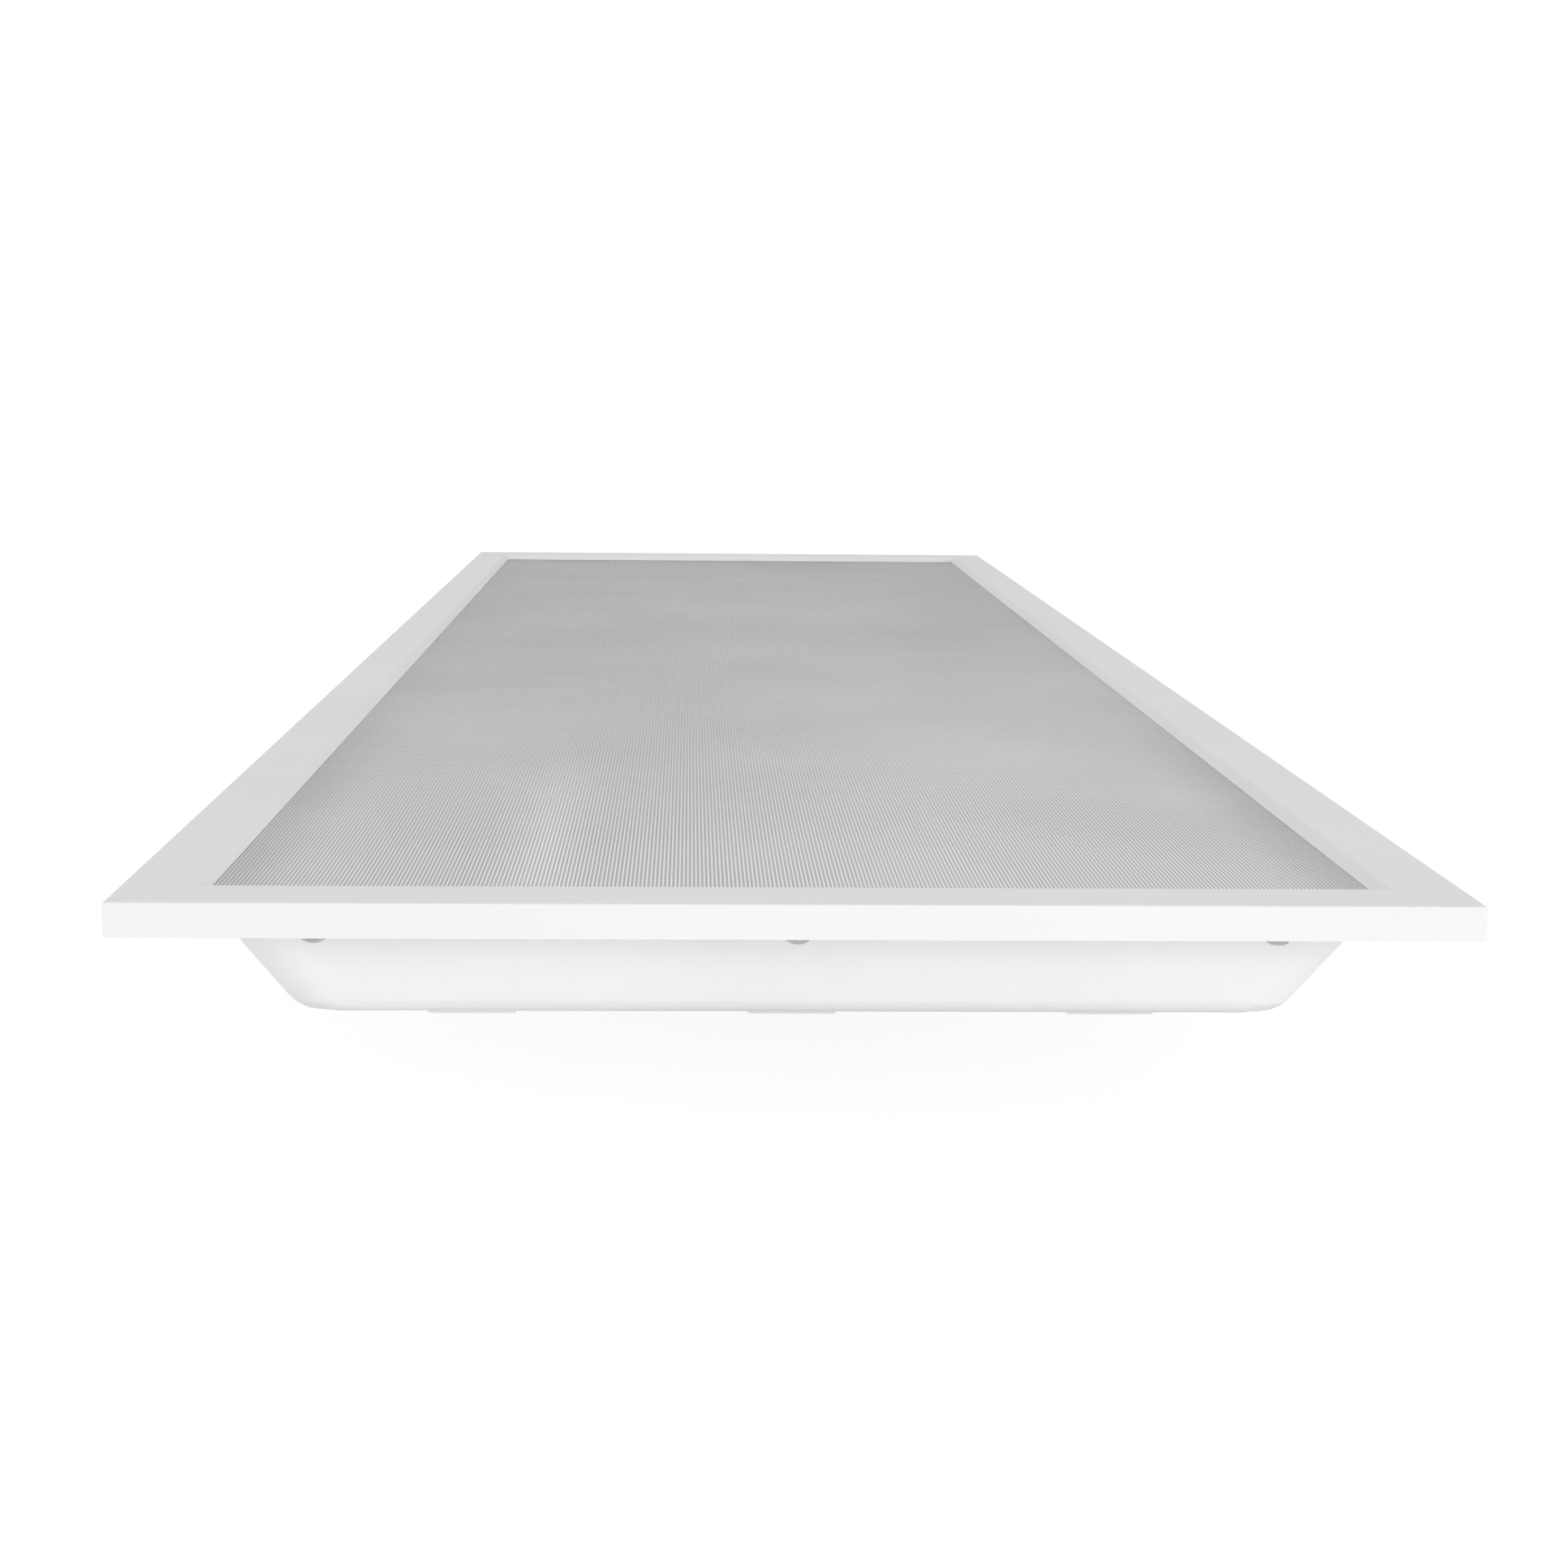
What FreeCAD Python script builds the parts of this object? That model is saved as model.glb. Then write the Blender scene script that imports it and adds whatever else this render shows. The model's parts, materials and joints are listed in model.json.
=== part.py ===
import FreeCAD, Part
import math
import os
import Sketcher

# Lay-in ceiling light: a 1 ft x 4 ft back-lit panel lying face up.
# X runs across the panel, Y along it, Z from the driver box lid (zero) up to the lit face.
# left = -X, right = +X, front = -Y (the near end), back = +Y.

DRIVING_SIZES = {
    # frame of four aluminium rails
    "frame_width": 302, "frame_length": 1213, "frame_high": 7.8,
    "face_side": 18, "face_end": 25, "lip_slope": 2, "edge_round": 0.5,
    "face_thick": 1.2, "side_thick": 1.4, "ledge_thick": 1.2, "lip_thick": 1.3,
    "screw_inset": 9, "rib_thick": 4,
    "key_leg": 42, "key_gap": 0.15, "key_screw_reach": 26, "key_screw_radius": 2,
    # lens and what holds it
    "lens_recess": 2.8, "lens_thick": 2, "lens_inset": 11.5,
    # back pan
    "pan_depth": 32.2, "pan_sheet": 0.6, "flange_inset": 4, "mouth_inset": 20,
    "pan_run": 16, "pan_corner": 12, "pan_bend": 8.3,
    "bead_pitch": 74.5, "bead_width": 20, "bead_high": 1.8, "bead_bevel": 1,
    "bead_start": 44.5, "bead_gap": 8,
    # fasteners
    "screw_radius": 1.5, "screw_head_radius": 2.9, "screw_head_high": 1.8, "screw_reach": 5,
    "screw_slack": 0.05, "end_screw_span": 106.6, "side_screw_end": 51.5,
    # light engine
    "board_width": 24, "board_inset": 56.5, "board_thick": 1.6, "light_margin": 23,
    "chip_side": 3, "chip_high": 0.7, "cap_radius": 7, "cap_high": 5, "cap_slack": 1,
    "tray_sheet": 0.5, "tray_slack": 0.6, "stud_radius": 1.5, "stud_head_radius": 3.2,
    "link_radius": 0.7, "link_spread": 12,
    # driver box
    "box_depth": 30, "box_width": 110, "box_sheet": 0.8,
    "cover_flange": 11, "cover_gap": 0.1, "knockout_radius": 11.1, "knockout_pitch": 34,
    "knockout_place": 28, "wiring_length": 92, "barrier_foot": 8, "rivet_radius": 1.6, "rivet_inset": 4,
    "rivet_margin": 8, "rivet_tail": 1.2,
    # access door of the wiring compartment
    "door_margin": 6, "door_gap": 0.4, "door_lap": 3, "door_land": 12, "window_sill": 3, "window_head": 5,
    "hinge_radius": 1.6, "hinge_pin": 0.8, "hinge_slack": 0.05, "hinge_drop": 3, "knuckle_gap": 0.3,
    "ear_length": 8, "pull_length": 24, "pull_reach": 4, "snap_radius": 1.9, "snap_high": 9,
    # driver
    "driver_width": 42, "driver_length": 132, "driver_high": 20, "driver_wall": 1.5,
    "driver_shift": 25, "driver_end_gap": 9, "barrier_gap": 6.2, "driver_ear": 10, "driver_ear_thick": 2,
    "driver_screw_inset": 24, "circuit_thick": 1.6, "circuit_standoff": 3,
    # lever terminal block
    "pole_pitch": 10, "block_depth": 24, "block_high": 11, "block_shift": 20, "block_place": 39,
    "tunnel_radius": 2, "clamp_length": 15, "clamp_gap": 0.15, "lever_width": 6, "lever_thick": 2,
    "lever_length": 13, "lever_inset": 8, "lever_trunnion": 0.9, "lever_gap": 0.3,
    # swing-out grid clips
    "clip_from_screw": 30, "clip_plate": 1, "clip_half_width": 6, "clip_pivot_inset": 12,
    "clip_rise": 30, "clip_reach": 24, "clip_gap": 0.2, "clip_pin": 2, "clip_slack": 0.05,
    "bracket_half_width": 7, "bracket_half_length": 22, "bracket_screw": 15,
    "ear_drop": 18, "hanger_edge": 4, "hanger_radius": 2.5,
    # leads
    "lead_radius": 1.2, "lead_bend": 6, "lead_spread": 14, "lead_room": 2.8,
    "grommet_radius": 6, "grommet_wall": 2,
    "output_place": 60, "output_spread": 8,
    # protective earth
    "earth_shift": 4, "earth_place": 70, "earth_boss": 4.5, "lug_thick": 1, "lug_length": 14,
}

doc = FreeCAD.newDocument("lay_in_panel")
sheet = doc.addObject("Spreadsheet::Sheet", "dims")
for row, (alias, size) in enumerate(DRIVING_SIZES.items(), start=1):
    sheet.set(f"A{row}", str(size))
    sheet.setAlias(f"A{row}", alias)
doc.recompute()

# Levels and half sizes that many pieces share
HALF_X = "(dims.frame_width / 2)"
HALF_Y = "(dims.frame_length / 2)"
FACE = "(dims.box_depth + dims.pan_depth)"
LEDGE = f"({FACE} - dims.frame_high)"
LENS_FRONT = f"({FACE} - dims.lens_recess)"
LENS_REAR = f"({LENS_FRONT} - dims.lens_thick)"
FLANGE_REAR = f"({LEDGE} - dims.pan_sheet)"
PAN_FLOOR = "(dims.box_depth + dims.pan_sheet)"
BOARD_TOP = f"({PAN_FLOOR} + dims.board_thick)"
TRAY_TOP = f"({BOARD_TOP} + dims.tray_sheet)"
BOX_X = "(dims.box_width / 2)"
BOX_LENGTH = ("(dims.wiring_length + dims.barrier_gap + dims.driver_length + dims.driver_end_gap"
              " + dims.box_sheet)")
BOX_Y = f"({BOX_LENGTH} / 2)"
BOX_FLOOR = "(dims.box_depth - dims.box_sheet)"
RIB_NEAR = "(dims.screw_inset - dims.rib_thick / 2)"
RIB_FAR = "(dims.screw_inset + dims.rib_thick / 2)"
CHAMBER_ROOF = f"({FACE} - dims.face_thick)"
CHAMBER_FLOOR = f"({LEDGE} + dims.ledge_thick)"

# Pitches and places that follow the frame's length
LIGHTS_PER_ROW = 18
BOARD_HALF = f"({HALF_Y} - dims.board_inset)"
LIGHT_PITCH = f"(2 * ({BOARD_HALF} - dims.light_margin) / {LIGHTS_PER_ROW - 1})"
SIDE_SCREW_PITCH = f"(({HALF_Y} - dims.side_screw_end) / 3)"
CLIP_Y = f"(2 * {SIDE_SCREW_PITCH} + dims.clip_from_screw)"

nodes = []


# ---- small helpers -------------------------------------------------------------------------

def value(expression):
    return float(sheet.evalExpression(expression))


def keep(piece, label):
    piece.Label = label
    nodes.append(piece)
    return piece


def place(piece, spot):
    for axis, expression in zip("xyz", spot):
        piece.setExpression(f"Placement.Base.{axis}", str(expression))
    return piece


def block(name, low, high):
    piece = doc.addObject("Part::Box", name)
    for side, start, end in zip(("Length", "Width", "Height"), low, high):
        piece.setExpression(side, f"({end}) - ({start})")
    return place(piece, low)


def rod(name, start, radius, length, along="Z"):
    piece = doc.addObject("Part::Cylinder", name)
    directions = {"X": (1, 0, 0), "Y": (0, 1, 0), "Z": (0, 0, 1)}
    turn = FreeCAD.Rotation(FreeCAD.Vector(0, 0, 1), FreeCAD.Vector(*directions[along]))
    piece.Placement = FreeCAD.Placement(FreeCAD.Vector(), turn)
    piece.setExpression("Radius", str(radius))
    piece.setExpression("Height", str(length))
    return place(piece, start)


def group(name, pieces):
    piece = doc.addObject("Part::Compound", name)
    piece.Links = pieces
    return piece


def fuse(name, pieces):
    piece = doc.addObject("Part::MultiFuse", name)
    piece.Shapes = pieces
    return piece


def cut(name, base, tools):
    piece = doc.addObject("Part::Cut", name)
    piece.Base = base
    piece.Tool = tools[0] if len(tools) == 1 else fuse(f"{name}_tools", tools)
    return piece


def mirror(name, source, across):
    piece = doc.addObject("Part::Mirroring", name)
    piece.Source = source
    piece.Normal = FreeCAD.Vector(*across)
    return piece


def copies(name, master, spots, facing=(0, 0, 1)):
    """Copies of a master that is drawn at the origin along +Z, one at each spot."""
    turn = FreeCAD.Rotation(FreeCAD.Vector(0, 0, 1), FreeCAD.Vector(*facing))
    links = []
    for number, spot in enumerate(spots):
        link = doc.addObject("App::Link", f"{name}_{number}")
        link.LinkedObject = master
        link.Placement = FreeCAD.Placement(FreeCAD.Vector(), turn)
        links.append(place(link, spot))
    return group(name, links)


def origin_plane(body, role):
    return next(plane for plane in body.Origin.OriginFeatures if plane.Role == role)


def sketch_on(body, role, name, offset="0"):
    sketch = body.newObject("Sketcher::SketchObject", name)
    sketch.AttachmentSupport = [(origin_plane(body, role), "")]
    sketch.MapMode = "FlatFace"
    sketch.setExpression("AttachmentOffset.Base.z", str(offset))
    return sketch


def pin_point(sketch, geometry, end, across, up):
    for kind, expression in (("DistanceX", across), ("DistanceY", up)):
        size = value(str(expression))
        index = sketch.addConstraint(Sketcher.Constraint(kind, -1, 1, geometry, end, size))
        sketch.setExpression(f"Constraints[{index}]", str(expression))


def polygon(sketch, points):
    """A closed loop of straight lines whose corners are bound to the sheet."""
    corners = [FreeCAD.Vector(value(str(a)), value(str(b)), 0) for a, b in points]
    lines = []
    for number, corner in enumerate(corners):
        following = corners[(number + 1) % len(corners)]
        lines.append(sketch.addGeometry(Part.LineSegment(corner, following), False))
    for number, line in enumerate(lines):
        following = lines[(number + 1) % len(lines)]
        sketch.addConstraint(Sketcher.Constraint("Coincident", line, 2, following, 1))
    for line, (across, up) in zip(lines, points):
        pin_point(sketch, line, 1, across, up)


def rounded_rectangle(sketch, half_x, half_y, corner):
    """Four corner arcs joined by four tangent lines, centred on the origin."""
    reach_x, reach_y, radius = value(half_x), value(half_y), value(corner)
    centre_x, centre_y = reach_x - radius, reach_y - radius
    arcs = []
    for quarter, (side_x, side_y) in enumerate(((1, 1), (-1, 1), (-1, -1), (1, -1))):
        centre = FreeCAD.Vector(side_x * centre_x, side_y * centre_y, 0)
        circle = Part.Circle(centre, FreeCAD.Vector(0, 0, 1), radius)
        start = quarter * math.pi / 2
        arcs.append(sketch.addGeometry(Part.ArcOfCircle(circle, start, start + math.pi / 2), False))
    runs = (((centre_x, reach_y), (-centre_x, reach_y)), ((-reach_x, centre_y), (-reach_x, -centre_y)),
            ((-centre_x, -reach_y), (centre_x, -reach_y)), ((reach_x, -centre_y), (reach_x, centre_y)))
    lines = []
    for start, end in runs:
        segment = Part.LineSegment(FreeCAD.Vector(*start, 0), FreeCAD.Vector(*end, 0))
        lines.append(sketch.addGeometry(segment, False))
    for number in range(4):
        sketch.addConstraint(Sketcher.Constraint("Tangent", arcs[number], 2, lines[number], 1))
        sketch.addConstraint(Sketcher.Constraint("Tangent", lines[number], 2, arcs[(number + 1) % 4], 1))
    for line, direction in zip(lines, ("Horizontal", "Vertical", "Horizontal", "Vertical")):
        sketch.addConstraint(Sketcher.Constraint(direction, line))
    for arc in arcs[1:]:
        sketch.addConstraint(Sketcher.Constraint("Equal", arcs[0], arc))
    index = sketch.addConstraint(Sketcher.Constraint("Radius", arcs[0], radius))
    sketch.setExpression(f"Constraints[{index}]", corner)
    limits = ((lines[3], "DistanceX", half_x), (lines[1], "DistanceX", f"-({half_x})"),
              (lines[0], "DistanceY", half_y), (lines[2], "DistanceY", f"-({half_y})"))
    for line, kind, expression in limits:
        index = sketch.addConstraint(Sketcher.Constraint(kind, -1, 1, line, 1, value(expression)))
        sketch.setExpression(f"Constraints[{index}]", expression)


def lead(points, radius, bend):
    """A round lead along straight runs, joined by tangent arcs of the given bend radius."""
    spots = [FreeCAD.Vector(*(value(str(size)) for size in point)) for point in points]
    size, turn = value(radius), value(bend)
    edges, start = [], spots[0]
    for before, corner, after in zip(spots, spots[1:], spots[2:]):
        back, ahead = (before - corner).normalize(), (after - corner).normalize()
        reach = turn / math.tan(back.getAngle(ahead) / 2)
        first, last = corner + back * reach, corner + ahead * reach
        bisector = (back + ahead).normalize()
        middle = corner + bisector * (math.hypot(reach, turn) - turn)
        edges.append(Part.LineSegment(start, first).toShape())
        edges.append(Part.Arc(first, middle, last).toShape())
        start = last
    edges.append(Part.LineSegment(start, spots[-1]).toShape())
    path = Part.Wire(edges)
    section = Part.Wire(Part.Circle(spots[0], spots[1] - spots[0], size).toShape())
    return path.makePipeShell([section], True, True)


def edges_where(shape, test):
    return [f"Edge{number}" for number, edge in enumerate(shape.Edges, start=1)
            if len(edge.Vertexes) == 2 and test(edge.Vertexes[0].Point, edge.Vertexes[1].Point)]


def fillet(body, name, base, edges, radius):
    feature = body.newObject("PartDesign::Fillet", name)
    feature.Base = (base, edges)
    feature.setExpression("Radius", radius)
    return feature


def revolved(name, points):
    """A turned piece: a half outline in the XZ plane, spun about Z."""
    body = doc.addObject("PartDesign::Body", name)
    sketch = sketch_on(body, "XZ_Plane", f"{name}_half")
    polygon(sketch, points)
    spin = body.newObject("PartDesign::Revolution", f"{name}_spin")
    spin.Profile = sketch
    spin.ReferenceAxis = (sketch, ["V_Axis"])
    spin.Angle = 360
    return body


def signed(sign, expression):
    return f"{sign} * ({expression})"


# ---- fastener masters ----------------------------------------------------------------------

def pan_head_screw(name, reach):
    """Pan head screw, head below its seat at z = 0 and shank above it, with a cross recess."""
    head, shank = "dims.screw_head_radius", "dims.screw_radius"
    crown = "-dims.screw_head_high"
    blank = revolved(f"{name}_blank", [
        (0, crown), (f"0.55 * {head}", crown), (f"0.87 * {head}", f"0.72 * {crown}"),
        (head, f"0.3 * {crown}"), (head, 0), (shank, 0),
        (shank, f"{reach} - 0.8"), (f"0.5 * {shank}", reach), (0, reach)])
    slot_half, slot_wide = f"0.5 * {head}", f"0.12 * {head}"
    floor = f"0.45 * {crown}"
    long_slot = block(f"{name}_slot_x", (f"-{slot_half}", f"-{slot_wide}", f"{crown} - 1"),
                      (slot_half, slot_wide, floor))
    cross_slot = block(f"{name}_slot_y", (f"-{slot_wide}", f"-{slot_half}", f"{crown} - 1"),
                       (slot_wide, slot_half, floor))
    return cut(name, blank, [long_slot, cross_slot])


def end_screw_spots():
    return [(f"{side} * dims.end_screw_span", signed(end, f"{HALF_Y} - dims.screw_inset"), FLANGE_REAR)
            for end in (-1, 1) for side in (-1, 0, 1)]


def side_screw_spots():
    return [(signed(side, f"{HALF_X} - dims.screw_inset"), f"{step} * {SIDE_SCREW_PITCH}", FLANGE_REAR)
            for side in (-1, 1) for step in range(-3, 4)]


def bracket_screw_spots():
    seat = f"{FLANGE_REAR} - dims.clip_plate"
    return [(signed(side, f"{HALF_X} - dims.screw_inset"),
             f"{end} * {CLIP_Y} + {step} * dims.bracket_screw", seat)
            for side in (-1, 1) for end in (-1, 1) for step in (-1, 1)]


def pan_screws(master):
    keep(copies("pan_screws", master, end_screw_spots() + side_screw_spots()), "pan_screws")
    keep(copies("bracket_screws", master, bracket_screw_spots()), "bracket_screws")


def screw_holes(name, spots, radius, low, high):
    return [rod(f"{name}_{number}", (x, y, low), radius, f"({high}) - ({low})")
            for number, (x, y, seat) in enumerate(spots)]


# ---- frame ---------------------------------------------------------------------------------

def rail_profile(sketch, sign, half, face):
    """Face plate, outer wall, rear ledge, screw rib and the sloped lip that the lens lies under.

    The lip's slope is wider on the end rails, so that it meets the side rails' slope at the mitre.
    """
    def point(inset, level):
        return signed(sign, f"{half} - ({inset})"), level

    slope = f"(dims.lip_slope * {face} / dims.face_side)"
    under = f"({slope} * (dims.lens_recess - dims.face_thick) / dims.lens_recess)"
    polygon(sketch, [
        point(0, FACE), point(f"{face} - {slope}", FACE), point(face, LENS_FRONT),
        point(f"{face} - dims.lip_thick", LENS_FRONT),
        point(f"{face} - dims.lip_thick - {under}", CHAMBER_ROOF),
        point(RIB_FAR, CHAMBER_ROOF), point(RIB_FAR, LEDGE), point(0, LEDGE)])
    polygon(sketch, [
        point("dims.side_thick", CHAMBER_ROOF), point(RIB_NEAR, CHAMBER_ROOF),
        point(RIB_NEAR, CHAMBER_FLOOR), point("dims.side_thick", CHAMBER_FLOOR)])


def mitre_waste(sketch, along_y, sign):
    """The two corners that the mitre cuts off a rail, drawn in plan."""
    deep = 1.4
    for end in (-1, 1):
        outer = (signed(sign if along_y else end, HALF_X), signed(end if along_y else sign, HALF_Y))
        inner_x = f"{HALF_X} - {deep} * dims.face_side"
        inner_y = f"{HALF_Y} - {deep} * dims.face_end"
        inner = (signed(sign if along_y else end, inner_x), signed(end if along_y else sign, inner_y))
        if along_y:
            beyond = signed(end, f"{HALF_Y} + 2")
            polygon(sketch, [outer, inner, (inner[0], beyond), (outer[0], beyond)])
        else:
            beyond = signed(end, f"{HALF_X} + 2")
            polygon(sketch, [outer, inner, (beyond, inner[1]), (beyond, outer[1])])


def rail(name, along_y, sign):
    body = doc.addObject("PartDesign::Body", f"{name}_bar")
    half, face = (HALF_X, "dims.face_side") if along_y else (HALF_Y, "dims.face_end")
    profile = sketch_on(body, "XZ_Plane" if along_y else "YZ_Plane", f"{name}_profile")
    rail_profile(profile, sign, half, face)
    bar = body.newObject("PartDesign::Pad", f"{name}_pad")
    bar.Profile = profile
    bar.SideType = "Symmetric"
    bar.setExpression("Length", "dims.frame_length" if along_y else "dims.frame_width")
    doc.recompute()
    level = value(FACE)
    top_edges = edges_where(bar.Shape, lambda a, b: abs(a.z - level) < 1e-6 and abs(b.z - level) < 1e-6
                            and (a - b).Length > 2 * value(face))
    rounded = fillet(body, f"{name}_edge", bar, top_edges, "dims.edge_round")
    doc.recompute()
    waste = sketch_on(body, "XY_Plane", f"{name}_waste", FACE)
    mitre_waste(waste, along_y, sign)
    mitre = body.newObject("PartDesign::Pocket", f"{name}_mitre")
    mitre.Profile = waste
    mitre.SideType = "Symmetric"
    mitre.setExpression("Length", "4 * dims.frame_high")
    doc.recompute()
    if along_y:
        spots = [spot for spot in side_screw_spots() + bracket_screw_spots()
                 if value(spot[0]) * sign > 0]
    else:
        spots = [spot for spot in end_screw_spots() if value(spot[1]) * sign > 0]
    top = f"{FLANGE_REAR} + dims.screw_reach + 0.6"
    holes = screw_holes(f"{name}_hole", spots, "dims.screw_radius + dims.screw_slack", FLANGE_REAR, top)
    for number, spot in enumerate(key_screw_spots()):
        on_side_rail = number % 2 == 0
        lies_here = value(spot[0] if along_y else spot[1]) * sign > 0
        if on_side_rail == along_y and lies_here:
            holes.append(rod(f"{name}_key_hole_{number}", (spot[0], spot[1], FLANGE_REAR),
                             "dims.key_screw_radius + dims.screw_slack",
                             f"{CHAMBER_FLOOR} + dims.key_gap - {FLANGE_REAR}"))
    if not along_y:
        holes += [key_notch(name, sign, side) for side in (-1, 1)]
    keep(cut(name, body, holes), name)


def key_notch(name, end, side):
    """Where a corner key's long leg passes through the end rail's rib."""
    inner, outer = ("dims.side_thick", RIB_NEAR)
    xs = sorted((signed(side, f"{HALF_X} - {inner}"), signed(side, f"{HALF_X} - {outer}")), key=value)
    ys = sorted((signed(end, f"{HALF_Y} - {inner}"), signed(end, f"{HALF_Y} - dims.key_leg")), key=value)
    return block(f"{name}_notch_{side + 1}", (xs[0], ys[0], CHAMBER_FLOOR), (xs[1], ys[1], CHAMBER_ROOF))


def key_screw_spots():
    """One grub screw in each leg of each corner key: side rail first, then end rail."""
    middle = f"(dims.side_thick + {RIB_NEAR}) / 2"
    spots = []
    for end in (-1, 1):
        for side in (-1, 1):
            spots.append((signed(side, f"{HALF_X} - {middle}"),
                          signed(end, f"{HALF_Y} - dims.key_screw_reach"), LEDGE))
            spots.append((signed(side, f"{HALF_X} - dims.key_screw_reach"),
                          signed(end, f"{HALF_Y} - {middle}"), LEDGE))
    return spots


def corner_keys():
    """L-shaped keys that slide into the rails' closed chambers."""
    outer, inner = "dims.side_thick + dims.key_gap", f"{RIB_NEAR} - dims.key_gap"
    low, high = f"{CHAMBER_FLOOR} + dims.key_gap", f"{CHAMBER_ROOF} - dims.key_gap"
    long_leg = block("key_long_leg", (f"{HALF_X} - ({inner})", f"{HALF_Y} - dims.key_leg", low),
                     (f"{HALF_X} - ({outer})", f"{HALF_Y} - ({outer})", high))
    short_leg = block("key_short_leg", (f"{HALF_X} - dims.key_leg", f"{HALF_Y} - ({inner})", low),
                      (f"{HALF_X} - ({outer})", f"{HALF_Y} - ({outer})", high))
    back_right = keep(fuse("corner_key_back_right", [long_leg, short_leg]), "corner_key_back_right")
    back_left = keep(mirror("corner_key_back_left", back_right, (1, 0, 0)), "corner_key_back_left")
    keep(mirror("corner_key_front_right", back_right, (0, 1, 0)), "corner_key_front_right")
    keep(mirror("corner_key_front_left", back_left, (0, 1, 0)), "corner_key_front_left")
    length = f"{CHAMBER_FLOOR} + dims.key_gap - {LEDGE}"
    grub = revolved("grub_screw", [(0, 0), ("dims.key_screw_radius", 0),
                                   ("dims.key_screw_radius", length), (0, length)])
    keep(copies("corner_key_screws", grub, key_screw_spots()), "corner_key_screws")


# ---- lens, gasket and reflector ------------------------------------------------------------

def lens():
    x, y = f"({HALF_X} - dims.lens_inset)", f"({HALF_Y} - dims.lens_inset)"
    keep(block("prismatic_lens", (f"-{x}", f"-{y}", LENS_REAR), (x, y, LENS_FRONT)), "prismatic_lens")
    inner_x = f"({HALF_X} - dims.mouth_inset + dims.tray_slack)"
    inner_y = f"({HALF_Y} - dims.mouth_inset + dims.tray_slack)"
    outside = block("gasket_outside", (f"-{x}", f"-{y}", LEDGE), (x, y, LENS_REAR))
    inside = block("gasket_inside", (f"-{inner_x}", f"-{inner_y}", f"{LEDGE} - 1"),
                   (inner_x, inner_y, f"{LENS_REAR} + 1"))
    keep(cut("lens_gasket", outside, [inside]), "lens_gasket")


PAN_RISE = f"({LEDGE} - dims.box_depth)"
WALL_SPREAD = f"(sqrt({PAN_RISE} * {PAN_RISE} + dims.pan_run * dims.pan_run) / {PAN_RISE})"
RUN_PER_RISE = f"(dims.pan_run / {PAN_RISE})"


def tray_solid(name, inset, top, floor, corner, bend):
    """A filled tray with sloped walls: the pan's outside, or a hollow parallel to it.

    inset is how far, square to the sloped wall, the surface lies inside the pan's outer skin.
    """
    def reach(half, level):
        slope = f"{RUN_PER_RISE} * ({LEDGE} - ({level}))"
        return f"{half} - dims.mouth_inset - {slope} - ({inset}) * {WALL_SPREAD}"

    body = doc.addObject("PartDesign::Body", name)
    mouth = sketch_on(body, "XY_Plane", f"{name}_mouth", top)
    rounded_rectangle(mouth, reach(HALF_X, top), reach(HALF_Y, top), corner)
    base = sketch_on(body, "XY_Plane", f"{name}_base", floor)
    rounded_rectangle(base, reach(HALF_X, floor), reach(HALF_Y, floor), corner)
    walls = body.newObject("PartDesign::AdditiveLoft", f"{name}_walls")
    walls.Profile = mouth
    walls.Sections = [base]
    walls.Ruled = True
    doc.recompute()
    level = value(floor)
    low_edges = edges_where(walls.Shape, lambda a, b: abs(a.z - level) < 1e-6 and abs(b.z - level) < 1e-6)
    fillet(body, f"{name}_bend", walls, low_edges, bend)
    doc.recompute()
    return body


def reflector():
    """White film tray that lies on the light boards, with a hole for each lens cap."""
    top = f"({LENS_REAR} - dims.tray_slack)"
    outer_inset = "(dims.pan_sheet + dims.tray_slack)"
    inner_inset = "(dims.pan_sheet + dims.tray_slack + dims.tray_sheet)"
    outside = tray_solid("tray_outside", outer_inset, top, BOARD_TOP, "dims.pan_corner", "dims.pan_bend")
    inside = tray_solid("tray_inside", inner_inset, top, TRAY_TOP,
                        "dims.pan_corner", "dims.pan_bend - dims.tray_sheet")
    holes = [rod(f"tray_hole_{number}", (x, y, f"{BOARD_TOP} - 1"), "dims.cap_radius + dims.cap_slack",
                 "dims.tray_sheet + 2")
             for number, (x, y) in enumerate(light_spots())]
    studs = [rod(f"tray_stud_hole_{number}", (x, y, f"{BOARD_TOP} - 1"),
                 "dims.stud_radius + dims.screw_slack", "dims.tray_sheet + 2")
             for number, (x, y) in enumerate(stud_spots())]
    keep(cut("reflector_tray", outside, [inside] + holes + studs), "reflector_tray")


# ---- light boards --------------------------------------------------------------------------

ROWS = {"left": -1, "centre": 0, "right": 1}
STUD_STEPS = (-7, -3, 3, 7)


def row_light_spots(row):
    return [(f"{row} * dims.bead_pitch", f"{number - (LIGHTS_PER_ROW - 1) / 2} * {LIGHT_PITCH}")
            for number in range(LIGHTS_PER_ROW)]


def light_spots():
    return [spot for row in ROWS.values() for spot in row_light_spots(row)]


def row_stud_spots(row):
    """Push studs stand on the beads, halfway between two lights."""
    return [(f"{row} * dims.bead_pitch", f"{step} * {LIGHT_PITCH}") for step in STUD_STEPS]


def stud_spots():
    return [spot for row in ROWS.values() for spot in row_stud_spots(row)]


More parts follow.
